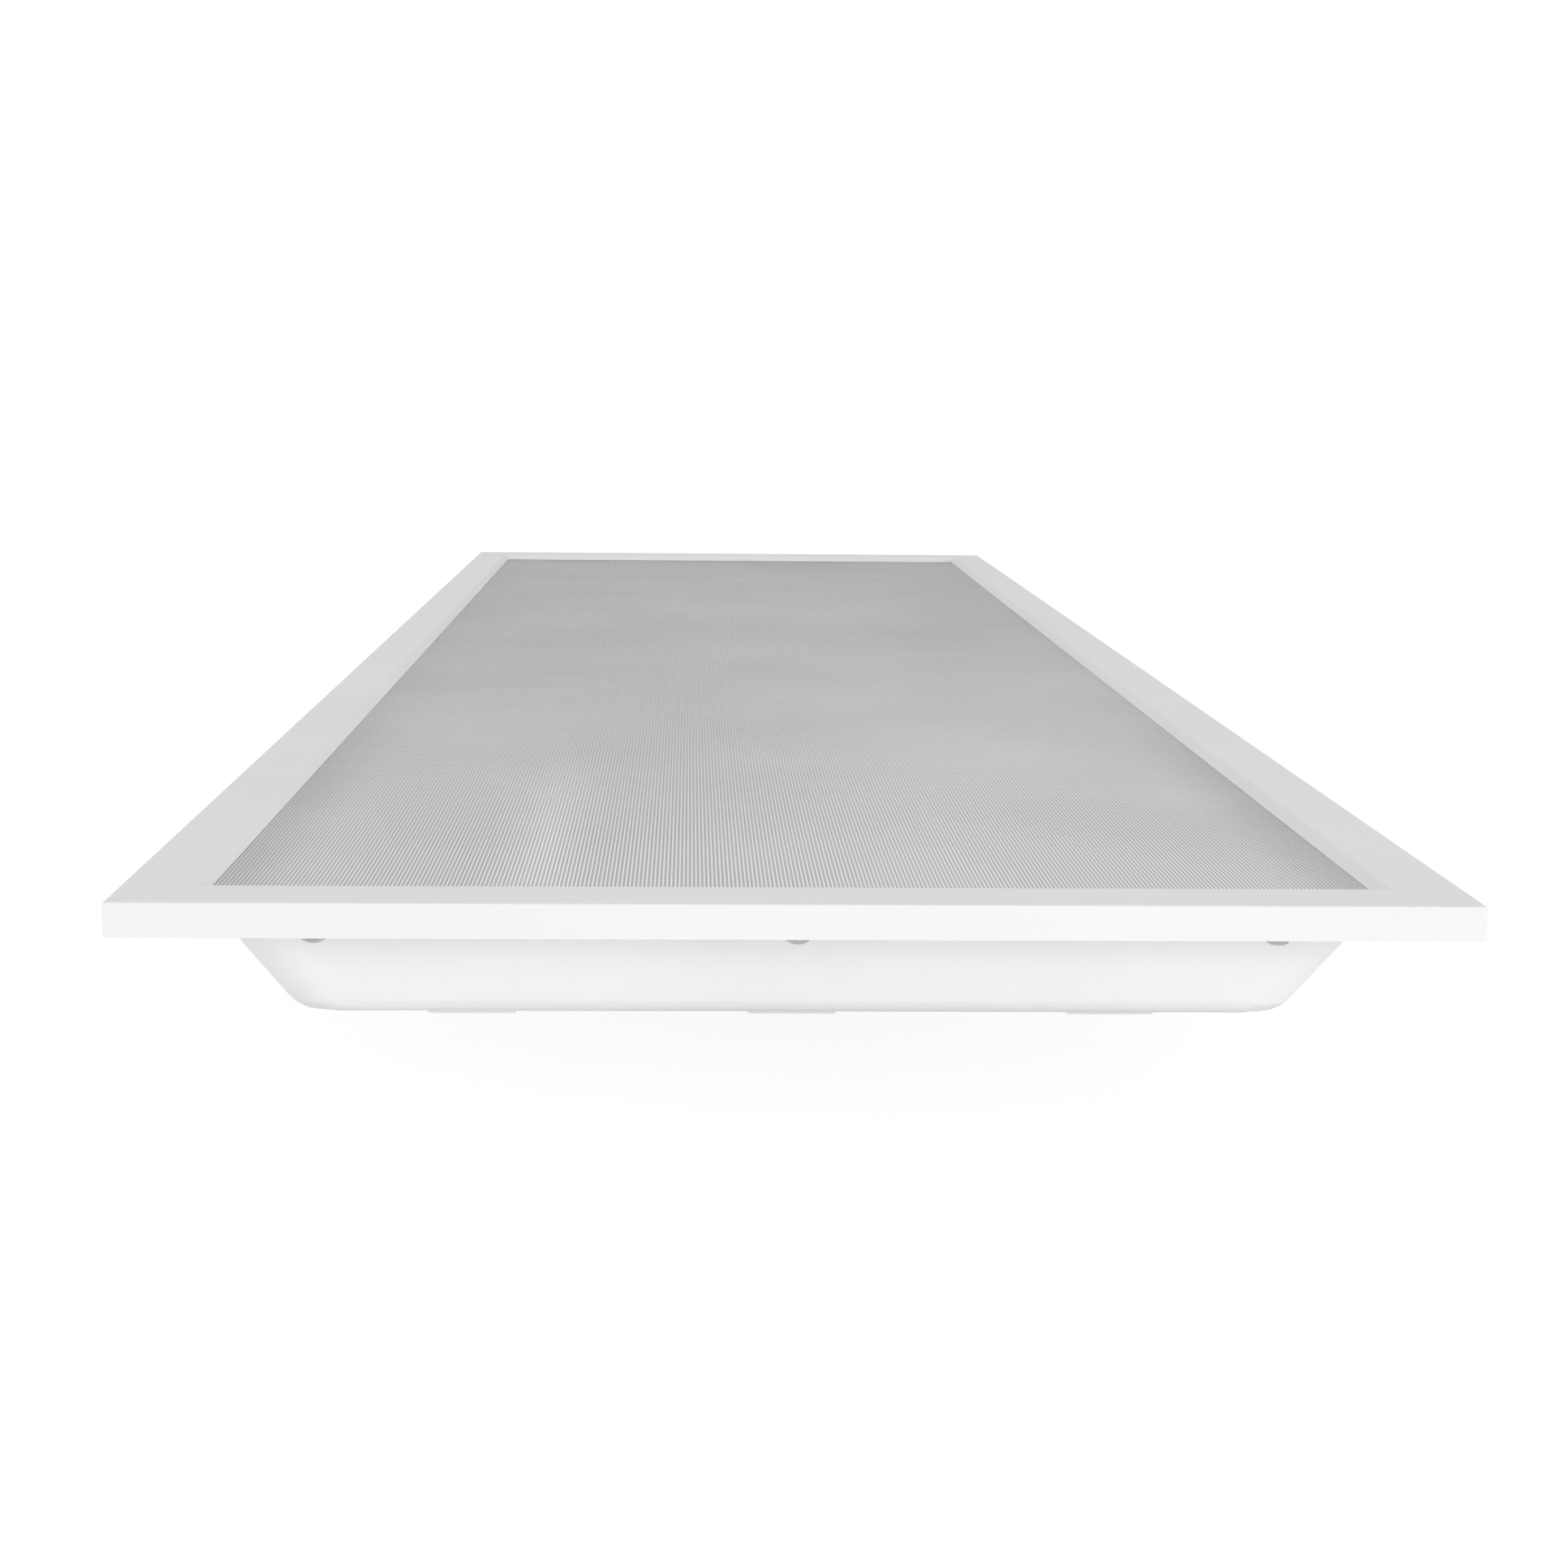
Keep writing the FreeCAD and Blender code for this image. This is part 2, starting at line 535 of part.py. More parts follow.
def light_rows():
    chip = block("chip_master", ("0", "0", "0"), ("dims.chip_side", "dims.chip_side", "dims.chip_high"))
    radius, high = "dims.cap_radius", "dims.cap_high"
    rim = "dims.chip_high + 0.3"
    cap = revolved("cap_master", [
        (0, rim), (f"0.45 * {radius}", rim), (f"0.45 * {radius}", 0), (radius, 0),
        (radius, f"0.3 * {high}"), (f"0.86 * {radius}", f"0.72 * {high}"),
        (f"0.5 * {radius}", high), (0, f"0.86 * {high}")])
    chips = []
    for label, row in ROWS.items():
        x = f"{row} * dims.bead_pitch"
        plate = block(f"board_{label}", (f"{x} - dims.board_width / 2", f"-{BOARD_HALF}", PAN_FLOOR),
                      (f"{x} + dims.board_width / 2", BOARD_HALF, BOARD_TOP))
        holes = [rod(f"board_{label}_hole_{number}", (a, b, f"{PAN_FLOOR} - 1"),
                     "dims.stud_radius + dims.screw_slack", "dims.board_thick + 2")
                 for number, (a, b) in enumerate(row_stud_spots(row))]
        keep(cut(f"light_board_{label}", plate, holes), f"light_board_{label}")
        spots = row_light_spots(row)
        keep(copies(f"lens_caps_{label}", cap, [(a, b, BOARD_TOP) for a, b in spots]),
             f"lens_caps_{label}")
        chips += [(f"{a} - dims.chip_side / 2", f"{b} - dims.chip_side / 2", BOARD_TOP) for a, b in spots]
    keep(copies("light_chips", chip, chips), "light_chips")


def board_studs():
    """Nylon push studs through the film, the board and the pan floor."""
    body, head = "dims.stud_radius", "dims.stud_head_radius"
    length = f"({TRAY_TOP} - dims.box_depth + dims.bead_high + 1.4)"
    stud = revolved("stud_master", [
        (0, f"-{length}"), (f"0.6 * {body}", f"-{length}"), (f"1.5 * {body}", f"0.9 - {length}"),
        (f"1.5 * {body}", f"1.2 - {length}"), (body, f"1.4 - {length}"), (body, 0), (head, 0),
        (head, 0.5), (f"0.7 * {head}", 1.1), (0, 1.3)])
    keep(copies("board_studs", stud, [(x, y, TRAY_TOP) for x, y in stud_spots()]), "board_studs")


def link_leads():
    """Insulated links on the pan floor, from board to board."""
    leads = []
    level = f"{PAN_FLOOR} + dims.board_thick / 2"
    length = "dims.bead_pitch - dims.board_width"
    starts = {"left": "-dims.bead_pitch + dims.board_width / 2", "right": "dims.board_width / 2"}
    for gap, start in starts.items():
        for sign in (-1, 1):
            spot = (start, f"{GROMMET_Y} + {sign} * dims.link_spread", level)
            leads.append(rod(f"link_{gap}_{sign + 1}", spot, "dims.link_radius", length, "X"))
    keep(group("link_leads", leads), "link_leads")


# ---- back pan ------------------------------------------------------------------------------

GROMMET_X = "(dims.bead_pitch / 2)"
GROMMET_Y = "0"


def bead_solid(name, row, end, inset, base, high):
    """A stamped stiffening bead with bevelled sides, standing out of the pan's back."""
    body = doc.addObject("PartDesign::Body", name)
    sketch = sketch_on(body, "XY_Plane", f"{name}_plan", base)
    x = f"{row} * dims.bead_pitch"
    half = f"(dims.bead_width / 2 + dims.bead_bevel - ({inset}))"
    near = f"({BOX_Y} + dims.bead_gap + ({inset}))"
    far = f"({HALF_Y} - dims.bead_start - ({inset}))"
    polygon(sketch, [(f"{x} - {half}", signed(end, near)), (f"{x} + {half}", signed(end, near)),
                     (f"{x} + {half}", signed(end, far)), (f"{x} - {half}", signed(end, far))])
    pad = body.newObject("PartDesign::Pad", f"{name}_pad")
    pad.Profile = sketch
    pad.Reversed = True
    pad.setExpression("Length", high)
    pad.setExpression("TaperAngle", "-atan(dims.bead_bevel / dims.bead_high)")
    return body


def back_pan():
    outside = tray_solid("pan_outside", "0", LEDGE, "dims.box_depth", "dims.pan_corner", "dims.pan_bend")
    inside = tray_solid("pan_inside", "dims.pan_sheet", LEDGE, PAN_FLOOR,
                        "dims.pan_corner", "dims.pan_bend - dims.pan_sheet")
    flange_x = f"({HALF_X} - dims.flange_inset)"
    flange_y = f"({HALF_Y} - dims.flange_inset)"
    flange = block("pan_flange", (f"-{flange_x}", f"-{flange_y}", FLANGE_REAR), (flange_x, flange_y, LEDGE))
    skins, hollows = [outside, flange], [inside]
    for label, row in ROWS.items():
        for end in (-1, 1):
            name = f"bead_{label}_{end + 1}"
            skins.append(bead_solid(name, row, end, "0", "dims.box_depth", "dims.bead_high"))
            hollows.append(bead_solid(f"{name}_hollow", row, end, "dims.pan_sheet", PAN_FLOOR,
                                      "dims.bead_high"))
    slack = "dims.screw_radius + 0.2"
    top = f"{LEDGE} + 1"
    hollows += screw_holes("flange_hole", end_screw_spots() + side_screw_spots() + bracket_screw_spots(),
                           slack, f"{FLANGE_REAR} - 1", top)
    hollows += [rod(f"pan_stud_hole_{number}", (x, y, "dims.box_depth - dims.bead_high - 1"),
                    "dims.stud_radius + dims.screw_slack", "dims.bead_high + dims.pan_sheet + 2")
                for number, (x, y) in enumerate(stud_spots())]
    hollows += [rod(f"pan_rivet_hole_{number}", (x, y, "dims.box_depth - 1"),
                    "dims.rivet_radius + dims.screw_slack", "dims.pan_sheet + 2")
                for number, (x, y, z) in enumerate(box_rivet_spots())]
    hollows.append(rod("pan_lead_hole", (GROMMET_X, GROMMET_Y, "dims.box_depth - 1"),
                       "dims.grommet_radius", "dims.pan_sheet + 2"))
    keep(cut("back_pan", fuse("pan_skin", skins), hollows), "back_pan")


# ---- driver box ----------------------------------------------------------------------------

WINDOW_NEAR = f"(dims.door_margin - {BOX_Y})"
WINDOW_FAR = f"(dims.wiring_length - dims.door_margin - dims.door_land - {BOX_Y})"
WINDOW_LOW = "(dims.box_sheet + dims.window_sill)"
WINDOW_HIGH = f"({BOX_FLOOR} - dims.window_head)"
DOOR_NEAR = f"({WINDOW_NEAR} - dims.door_lap)"
DOOR_FAR = f"({WINDOW_FAR} + dims.door_land + dims.door_lap)"
HINGE_X = f"({BOX_X} + dims.door_gap + dims.hinge_radius)"
HINGE_Z = "(dims.box_depth - dims.hinge_drop)"
SNAP_Y = f"({WINDOW_FAR} + dims.door_land / 2 + dims.door_lap / 2)"
KNOCKOUT_Z = f"((dims.box_sheet + {BOX_FLOOR}) / 2)"
EARTH_X = "(-dims.earth_shift)"
EARTH_Y = f"(dims.earth_place - {BOX_Y})"
LEAD_Z = f"({BOX_FLOOR} - dims.block_high / 2)"
COVER_SCREW_Z = "(dims.cover_flange / 2 + dims.box_sheet)"
DRIVER_LOW_Y = f"({BOX_Y} - dims.box_sheet - dims.driver_end_gap - dims.driver_length)"
DRIVER_FLOOR = f"({BOX_FLOOR} - dims.driver_high)"
DRIVER_EDGE = "(dims.driver_width / 2 - dims.driver_shift)"


def cover_screw_spots(end):
    edge = f"{BOX_Y} + dims.cover_gap + dims.box_sheet"
    return [(f"{side} * dims.box_width / 3", signed(end, edge), COVER_SCREW_Z) for side in (-1, 1)]


def cover_screw_holes(name, wall):
    """Holes for the cover's screws, through the sheet whose middle lies at wall from the centre."""
    return [rod(f"{name}_{end + 1}_{n}", (x, f"{signed(end, wall)} - dims.box_sheet", z),
                "dims.screw_radius + dims.screw_slack", "2 * dims.box_sheet", "Y")
            for end in (-1, 1) for n, (x, y, z) in enumerate(cover_screw_spots(end))]


def box_rivet_spots():
    x = f"{BOX_X} - dims.rivet_inset"
    return [(signed(side, x), signed(end, f"{BOX_Y} - dims.rivet_margin"), BOX_FLOOR)
            for side in (-1, 1) for end in (-1, 1)]


def knockout_spots():
    x = f"-{BOX_X} - 1"
    return [(x, f"dims.knockout_place + {step} * dims.knockout_pitch - {BOX_Y}", KNOCKOUT_Z)
            for step in (0, 1)]


def driver_screw_spots():
    x = f"{DRIVER_EDGE} + dims.driver_ear / 2"
    seat = f"{BOX_FLOOR} - dims.driver_ear_thick"
    return [(x, f"{DRIVER_LOW_Y} + dims.driver_screw_inset", seat),
            (x, f"{DRIVER_LOW_Y} + dims.driver_length - dims.driver_screw_inset", seat)]


def block_screw_spots():
    seat = f"{BOX_FLOOR} - dims.driver_ear_thick"
    reach = "1.5 * dims.pole_pitch + dims.driver_ear / 2"
    return [("dims.block_shift", f"{BLOCK_Y} + {end} * ({reach})", seat) for end in (-1, 1)]


def driver_box():
    """Sheet steel tray on the pan's back: floor, four walls, hinge ears and an earthing boss."""
    outside = block("box_outside", (f"-{BOX_X}", f"-{BOX_Y}", "dims.box_sheet"),
                    (BOX_X, BOX_Y, "dims.box_depth"))
    hollow = block("box_hollow", (f"dims.box_sheet - {BOX_X}", f"dims.box_sheet - {BOX_Y}", "-1"),
                   (f"{BOX_X} - dims.box_sheet", f"{BOX_Y} - dims.box_sheet", BOX_FLOOR))
    shell = cut("box_shell", outside, [hollow])
    ears = []
    for name, near in (("near", DOOR_NEAR), ("far", f"({DOOR_FAR} - dims.ear_length)")):
        far = f"{near} + dims.ear_length"
        ears.append(rod(f"ear_{name}", (HINGE_X, near, HINGE_Z), "dims.hinge_radius", "dims.ear_length", "Y"))
        ears.append(block(f"ear_web_{name}",
                          (f"{BOX_X} - dims.box_sheet", near, f"{HINGE_Z} - dims.hinge_radius"),
                          (HINGE_X, far, f"{HINGE_Z} + dims.hinge_radius")))
    boss = rod("earth_boss", (EARTH_X, EARTH_Y, f"{BOX_FLOOR} - dims.earth_boss"), "dims.screw_radius + 2.5",
               "dims.earth_boss")
    window = block("door_window", (f"{BOX_X} - dims.box_sheet - 1", WINDOW_NEAR, WINDOW_LOW),
                   (f"{BOX_X} + 1", WINDOW_FAR, WINDOW_HIGH))
    snap_hole = rod("snap_hole", (f"{BOX_X} - dims.box_sheet - 1", SNAP_Y, "dims.snap_high"),
                    "dims.snap_radius + 1.1", "dims.box_sheet + 2", "X")
    pin_hole = rod("hinge_hole", (HINGE_X, f"{DOOR_NEAR} - 1", HINGE_Z), "dims.hinge_pin + dims.hinge_slack",
                   f"{DOOR_FAR} - {DOOR_NEAR} + 2", "Y")
    tight = "dims.screw_radius + dims.screw_slack"
    holes = [window, snap_hole, pin_hole]
    holes += [rod(f"knockout_{n}", spot, "dims.knockout_radius", "dims.box_sheet + 2", "X")
              for n, spot in enumerate(knockout_spots())]
    holes += cover_screw_holes("box_cover_hole", f"{BOX_Y} - dims.box_sheet / 2")
    holes += [rod(f"box_rivet_hole_{n}", (x, y, f"{BOX_FLOOR} - 1"), "dims.rivet_radius + dims.screw_slack",
                  "dims.box_sheet + 2") for n, (x, y, z) in enumerate(box_rivet_spots())]
    holes += [rod(f"box_screw_hole_{n}", (x, y, f"{BOX_FLOOR} - 1"), tight, "dims.box_sheet + 2")
              for n, (x, y, z) in enumerate(driver_screw_spots() + block_screw_spots())]
    holes.append(rod("earth_hole", (EARTH_X, EARTH_Y, f"{BOX_FLOOR} - dims.earth_boss - 1"), tight,
                     "dims.earth_boss + 1.5"))
    holes.append(rod("box_lead_hole", (GROMMET_X, GROMMET_Y, f"{BOX_FLOOR} - 1"), "dims.grommet_radius",
                     "dims.box_sheet + 2"))
    keep(cut("driver_box", fuse("box_body", [shell, boss] + ears), holes), "driver_box")


def box_cover():
    end_y = f"({BOX_Y} + dims.cover_gap + dims.box_sheet)"
    plate = block("cover_plate", (f"-{BOX_X}", f"-{end_y}", "0"), (BOX_X, end_y, "dims.box_sheet"))
    top = "dims.box_sheet + dims.cover_flange"
    flanges = [block("cover_flange_front", (f"-{BOX_X}", f"-{end_y}", "0"),
                     (BOX_X, f"dims.box_sheet - {end_y}", top)),
               block("cover_flange_back", (f"-{BOX_X}", f"{end_y} - dims.box_sheet", "0"),
                     (BOX_X, end_y, top))]
    holes = cover_screw_holes("cover_hole", f"{BOX_Y} + dims.box_sheet / 2")
    keep(cut("box_cover", fuse("cover_body", [plate] + flanges), holes), "box_cover")
    short = pan_head_screw("cover_screw", "4")
    front = copies("cover_screws_front", short, cover_screw_spots(-1), (0, 1, 0))
    back = copies("cover_screws_back", short, cover_screw_spots(1), (0, -1, 0))
    keep(group("cover_screws", [front, back]), "cover_screws")


def box_rivets():
    body, tail = "dims.rivet_radius", f"({PAN_FLOOR} - {BOX_FLOOR})"
    rivet = revolved("rivet_master", [
        (0, -0.8), (f"1.2 * {body}", -0.8), (f"1.7 * {body}", -0.3), (f"1.7 * {body}", 0), (body, 0),
        (body, tail), (f"1.4 * {body}", tail), (f"1.2 * {body}", f"{tail} + dims.rivet_tail"),
        (0, f"{tail} + dims.rivet_tail")])
    keep(copies("box_rivets", rivet, box_rivet_spots()), "box_rivets")


def knockout_plug():
    """Plastic blank pressed into the knockout that is not used."""
    radius = "dims.knockout_radius"
    plug = revolved("plug_master", [
        (0, 0), (f"{radius} - 1.5", 0), (f"{radius} - 1.5", 3), (f"{radius} - 0.1", 3),
        (f"{radius} - 0.1", 0), (f"{radius} + 1.6", 0), (f"{radius} + 1", -1.2), (0, -1.2)])
    spot = (f"-{BOX_X}", knockout_spots()[1][1], KNOCKOUT_Z)
    keep(copies("knockout_plug", plug, [spot], (1, 0, 0)), "knockout_plug")


def barrier_plate():
    """Partition between the wiring compartment and the driver, with a slot for the leads."""
    near = f"(dims.wiring_length - {BOX_Y})"
    edge = f"{BOX_X} - dims.box_sheet - dims.cover_gap"
    wall = block("barrier_wall", (f"-({edge})", near, "dims.box_sheet + dims.cover_gap"),
                 (edge, f"{near} + dims.box_sheet", BOX_FLOOR))
    foot = block("barrier_foot",
                 (f"{DRIVER_EDGE} + dims.driver_ear + 2", near, f"{BOX_FLOOR} - dims.box_sheet"),
                 (edge, f"{near} + dims.barrier_foot", BOX_FLOOR))
    half_slot = "(dims.lead_spread / 2 + dims.lead_room + dims.lead_radius)"
    slot_rise = "(dims.lead_room + dims.lead_radius - 1)"
    slot = block("barrier_slot",
                 (f"-dims.driver_shift - {half_slot}", f"{near} - 1", f"{LEAD_Z} - {slot_rise}"),
                 (f"{half_slot} - dims.driver_shift", f"{near} + dims.box_sheet + 1",
                  f"{LEAD_Z} + {slot_rise}"))
    keep(cut("barrier_plate", fuse("barrier_body", [wall, foot]), [slot]), "barrier_plate")


# ---- access door ---------------------------------------------------------------------------

def wiring_door():
    inner, outer = f"({BOX_X} + dims.door_gap)", f"({BOX_X} + dims.door_gap + dims.box_sheet)"
    low = "(dims.box_sheet + dims.cover_gap * 4)"
    shoulder = f"({HINGE_Z} - dims.hinge_radius - dims.knuckle_gap)"
    knuckle_near = f"({DOOR_NEAR} + dims.ear_length + dims.knuckle_gap)"
    knuckle_far = f"({DOOR_FAR} - dims.ear_length - dims.knuckle_gap)"
    middle = f"(({DOOR_NEAR} + {DOOR_FAR}) / 2)"
    leaf = block("door_leaf", (inner, DOOR_NEAR, low), (outer, DOOR_FAR, shoulder))
    tongue = block("door_tongue", (inner, knuckle_near, shoulder), (outer, knuckle_far, HINGE_Z))
    knuckle = rod("door_knuckle", (HINGE_X, knuckle_near, HINGE_Z), "dims.hinge_radius",
                  f"{knuckle_far} - {knuckle_near}", "Y")
    pull = block("door_pull", (inner, f"{middle} - dims.pull_length / 2", low),
                 (f"{outer} + dims.pull_reach", f"{middle} + dims.pull_length / 2",
                  f"{low} + dims.box_sheet"))
    pin_hole = rod("door_pin_hole", (HINGE_X, f"{knuckle_near} - 1", HINGE_Z),
                   "dims.hinge_pin + dims.hinge_slack", f"{knuckle_far} - {knuckle_near} + 2", "Y")
    snap_hole = rod("door_snap_hole", (f"{inner} - 1", SNAP_Y, "dims.snap_high"),
                    "dims.snap_radius + dims.screw_slack", "dims.box_sheet + 2", "X")
    body = fuse("door_body", [leaf, tongue, knuckle, pull])
    keep(cut("wiring_door", body, [pin_hole, snap_hole]), "wiring_door")
    pin = revolved("hinge_pin_master", [
        (0, -0.8), ("1.6 * dims.hinge_pin", -0.8), ("1.6 * dims.hinge_pin", 0), ("dims.hinge_pin", 0),
        ("dims.hinge_pin", f"{DOOR_FAR} - {DOOR_NEAR} + 1"), (0, f"{DOOR_FAR} - {DOOR_NEAR} + 1")])
    keep(copies("door_hinge_pin", pin, [(HINGE_X, DOOR_NEAR, HINGE_Z)], (0, 1, 0)), "door_hinge_pin")
    shank, depth = "dims.snap_radius", "(dims.box_sheet * 2 + dims.door_gap)"
    snap = revolved("snap_master", [
        (0, -1.4), (f"1.6 * {shank}", -1.4), (f"2.1 * {shank}", -0.5), (f"2.1 * {shank}", 0), (shank, 0),
        (shank, f"{depth} + 0.3"), (f"{shank} + 0.3", f"{depth} + 0.6"), (f"0.6 * {shank}", f"{depth} + 2"),
        (0, f"{depth} + 2")])
    keep(copies("door_snap_stud", snap, [(outer, SNAP_Y, "dims.snap_high")], (-1, 0, 0)), "door_snap_stud")


# ---- driver --------------------------------------------------------------------------------

def driver():
    """Plastic-cased driver: case, lid, circuit board and the big parts on it."""
    low_x = "(-dims.driver_shift - dims.driver_width / 2)"
    far_y = f"({DRIVER_LOW_Y} + dims.driver_length)"
    lid_top = f"({DRIVER_FLOOR} + dims.driver_wall)"
    wall = "dims.driver_wall"
    outside = block("case_outside", (low_x, DRIVER_LOW_Y, lid_top), (DRIVER_EDGE, far_y, BOX_FLOOR))
    inside = block("case_inside", (f"{low_x} + {wall}", f"{DRIVER_LOW_Y} + {wall}", f"{lid_top} - 1"),
                   (f"{DRIVER_EDGE} - {wall}", f"{far_y} - {wall}", f"{BOX_FLOOR} - {wall}"))
    ears = [block(f"driver_ear_{n}", (f"{DRIVER_EDGE} - {wall}", f"{y} - dims.driver_ear / 2",
                                      f"{BOX_FLOOR} - dims.driver_ear_thick"),
                  (f"{DRIVER_EDGE} + dims.driver_ear", f"{y} + dims.driver_ear / 2", BOX_FLOOR))
            for n, (x, y, z) in enumerate(driver_screw_spots())]
    holes = [rod(f"driver_ear_hole_{n}", (x, y, f"{z} - 1"), "dims.screw_radius + dims.screw_slack",
                 "dims.driver_ear_thick + 2") for n, (x, y, z) in enumerate(driver_screw_spots())]
    holes += [rod(f"mains_gland_{side}", (f"{side} * dims.lead_spread / 2 - dims.driver_shift",
                                          f"{DRIVER_LOW_Y} - 1", LEAD_Z), "dims.lead_radius + 0.1",
                  f"{wall} + 2", "Y") for side in (-1, 1)]
    holes += [rod(f"output_gland_{side}", (f"{DRIVER_EDGE} - {wall} - 1", output_y(side), LEAD_Z),
                  "dims.link_radius + 0.1", f"{wall} + 2", "X") for side in (-1, 1)]
    keep(cut("driver_case", fuse("case_body", [cut("case_shell", outside, [inside])] + ears), holes),
         "driver_case")
    lid = block("driver_lid", (low_x, DRIVER_LOW_Y, DRIVER_FLOOR), (DRIVER_EDGE, far_y, lid_top))
    keep(lid, "driver_lid")
    board_low = f"({lid_top} + dims.circuit_standoff)"
    board_top = f"({board_low} + dims.circuit_thick)"
    near = f"({DRIVER_LOW_Y} + {wall})"
    posts = [rod(f"post_{a}_{b}", (f"{low_x} + {wall} + 3 + {a} * (dims.driver_width - 2 * {wall} - 6)",
                                   f"{near} + 3 + {b} * (dims.driver_length - 2 * {wall} - 6)", lid_top),
                 2, "dims.circuit_standoff") for a in (0, 1) for b in (0, 1)]
    plate = block("circuit_plate", (f"{low_x} + {wall} + 0.2", f"{near} + 0.2", board_low),
                  (f"{DRIVER_EDGE} - {wall} - 0.2", f"{far_y} - {wall} - 0.2", board_top))
    keep(fuse("driver_circuit_board", [plate] + posts), "driver_circuit_board")
    room = f"({BOX_FLOOR} - {wall} - 0.6 - {board_top})"
    middle = "-dims.driver_shift"
    core = block("core", (f"{middle} - 10", f"{near} + 52", board_top),
                 (f"{middle} + 10", f"{near} + 72", f"{board_top} + 0.94 * {room}"))
    bobbin = block("bobbin", (f"{middle} - 13", f"{near} + 56", f"{board_top} + 0.2 * {room}"),
                   (f"{middle} + 13", f"{near} + 68", f"{board_top} + 0.8 * {room}"))
    keep(fuse("driver_transformer", [core, bobbin]), "driver_transformer")
    can = rod("can", (middle, f"{near} + 78", f"{board_top} + {room} / 2"), f"{room} / 2 - 0.2", 22, "Y")
    keep(can, "driver_capacitor")
    ring = rod("choke_ring", (middle, f"{near} + 34", board_top), 8.5, f"0.8 * {room}")
    bore = rod("choke_bore", (middle, f"{near} + 34", f"{board_top} - 1"), 3.5, f"{room} + 2")
    keep(cut("driver_choke", ring, [bore]), "driver_choke")


def output_y(side):
    return f"({DRIVER_LOW_Y} + dims.output_place + {side} * dims.output_spread / 2)"


def box_floor_screws():
    """Screws of the driver's ears and the terminal block's feet."""
    master = pan_head_screw("short_screw", "(dims.driver_ear_thick + dims.box_sheet - 0.2)")
    keep(copies("box_floor_screws", master, driver_screw_spots() + block_screw_spots()), "box_floor_screws")


# ---- terminal block ------------------------------------------------------------------------

BLOCK_Y = f"(dims.block_place - {BOX_Y})"
BLOCK_NEAR_X = "(dims.block_shift - dims.block_depth / 2)"
BLOCK_FAR_X = "(dims.block_shift + dims.block_depth / 2)"
BLOCK_FLOOR = f"({BOX_FLOOR} - dims.block_high)"
LEVER_X = f"({BLOCK_NEAR_X} + dims.lever_inset)"
LEVER_Z = f"({BLOCK_FLOOR} + dims.lever_thick / 2)"
POLES = {"line": -1, "neutral": 0, "earth": 1}


def pole_y(step):
    return f"({BLOCK_Y} + {step} * dims.pole_pitch)"


def terminal_block():
    half = "(1.5 * dims.pole_pitch)"
    body = block("block_body", (BLOCK_NEAR_X, f"{BLOCK_Y} - {half}", BLOCK_FLOOR),
                 (BLOCK_FAR_X, f"{BLOCK_Y} + {half}", BOX_FLOOR))
    foot_x, foot_y = "(dims.driver_ear / 2)", f"({half} + dims.driver_ear)"
    feet = block("block_feet", (f"dims.block_shift - {foot_x}", f"{BLOCK_Y} - {foot_y}",
                                f"{BOX_FLOOR} - dims.driver_ear_thick"),
                 (f"dims.block_shift + {foot_x}", f"{BLOCK_Y} + {foot_y}", BOX_FLOOR))
    holes = [rod(f"block_foot_hole_{n}", (x, y, f"{z} - 1"), "dims.screw_radius + dims.screw_slack",
                 "dims.driver_ear_thick + 2") for n, (x, y, z) in enumerate(block_screw_spots())]
    clamps = []
    for label, step in POLES.items():
        y = pole_y(step)
        slot = "(dims.lever_width / 2 + dims.lever_gap)"
        holes.append(block(f"lever_slot_{label}", (f"{LEVER_X} - dims.lever_thick / 2 - dims.lever_gap",
                                                   f"{y} - {slot}", f"{BLOCK_FLOOR} - 1"),
                           (f"{BLOCK_FAR_X} + 1", f"{y} + {slot}",
                            f"{BLOCK_FLOOR} + dims.lever_thick + dims.lever_gap")))
        holes.append(rod(f"trunnion_seat_{label}", (LEVER_X, f"{y} - {slot} - 1", LEVER_Z),
                         "dims.lever_trunnion + dims.hinge_slack", f"2 * {slot} + 2", "Y"))
        holes.append(rod(f"tunnel_{label}", (f"{BLOCK_NEAR_X} - 1", y, LEAD_Z), "dims.tunnel_radius",
                         "dims.block_depth + 2", "X"))
        clamps.append(clamp(label, y, holes))
    keep(cut("terminal_block", fuse("block_with_feet", [body, feet]), holes), "terminal_block")
    keep(group("terminal_clamps", clamps), "terminal_clamps")
    for label, step in POLES.items():
        lever(label, pole_y(step))


def clamp(label, y, holes):
    """Spring cage round the wire tunnel; its pocket is added to the block's holes."""
    half_x, half_y = "(dims.clamp_length / 2)", "(dims.lever_width / 2)"
    half_z = "(dims.tunnel_radius + 0.5)"
    gap = "dims.clamp_gap"
    x = "dims.block_shift"
    holes.append(block(f"clamp_pocket_{label}", (f"{x} - {half_x} - {gap}", f"{y} - {half_y} - {gap}",
                                                 f"{LEAD_Z} - {half_z} - {gap}"),
                       (f"{x} + {half_x} + {gap}", f"{y} + {half_y} + {gap}",
                        f"{LEAD_Z} + {half_z} + {gap}")))
    cage = block(f"cage_{label}", (f"{x} - {half_x}", f"{y} - {half_y}", f"{LEAD_Z} - {half_z}"),
                 (f"{x} + {half_x}", f"{y} + {half_y}", f"{LEAD_Z} + {half_z}"))
    way = rod(f"cage_way_{label}", (f"{x} - {half_x} - 1", y, LEAD_Z), "dims.tunnel_radius - 0.3",
              f"2 * {half_x} + 2", "X")
    return cut(f"clamp_{label}", cage, [way])


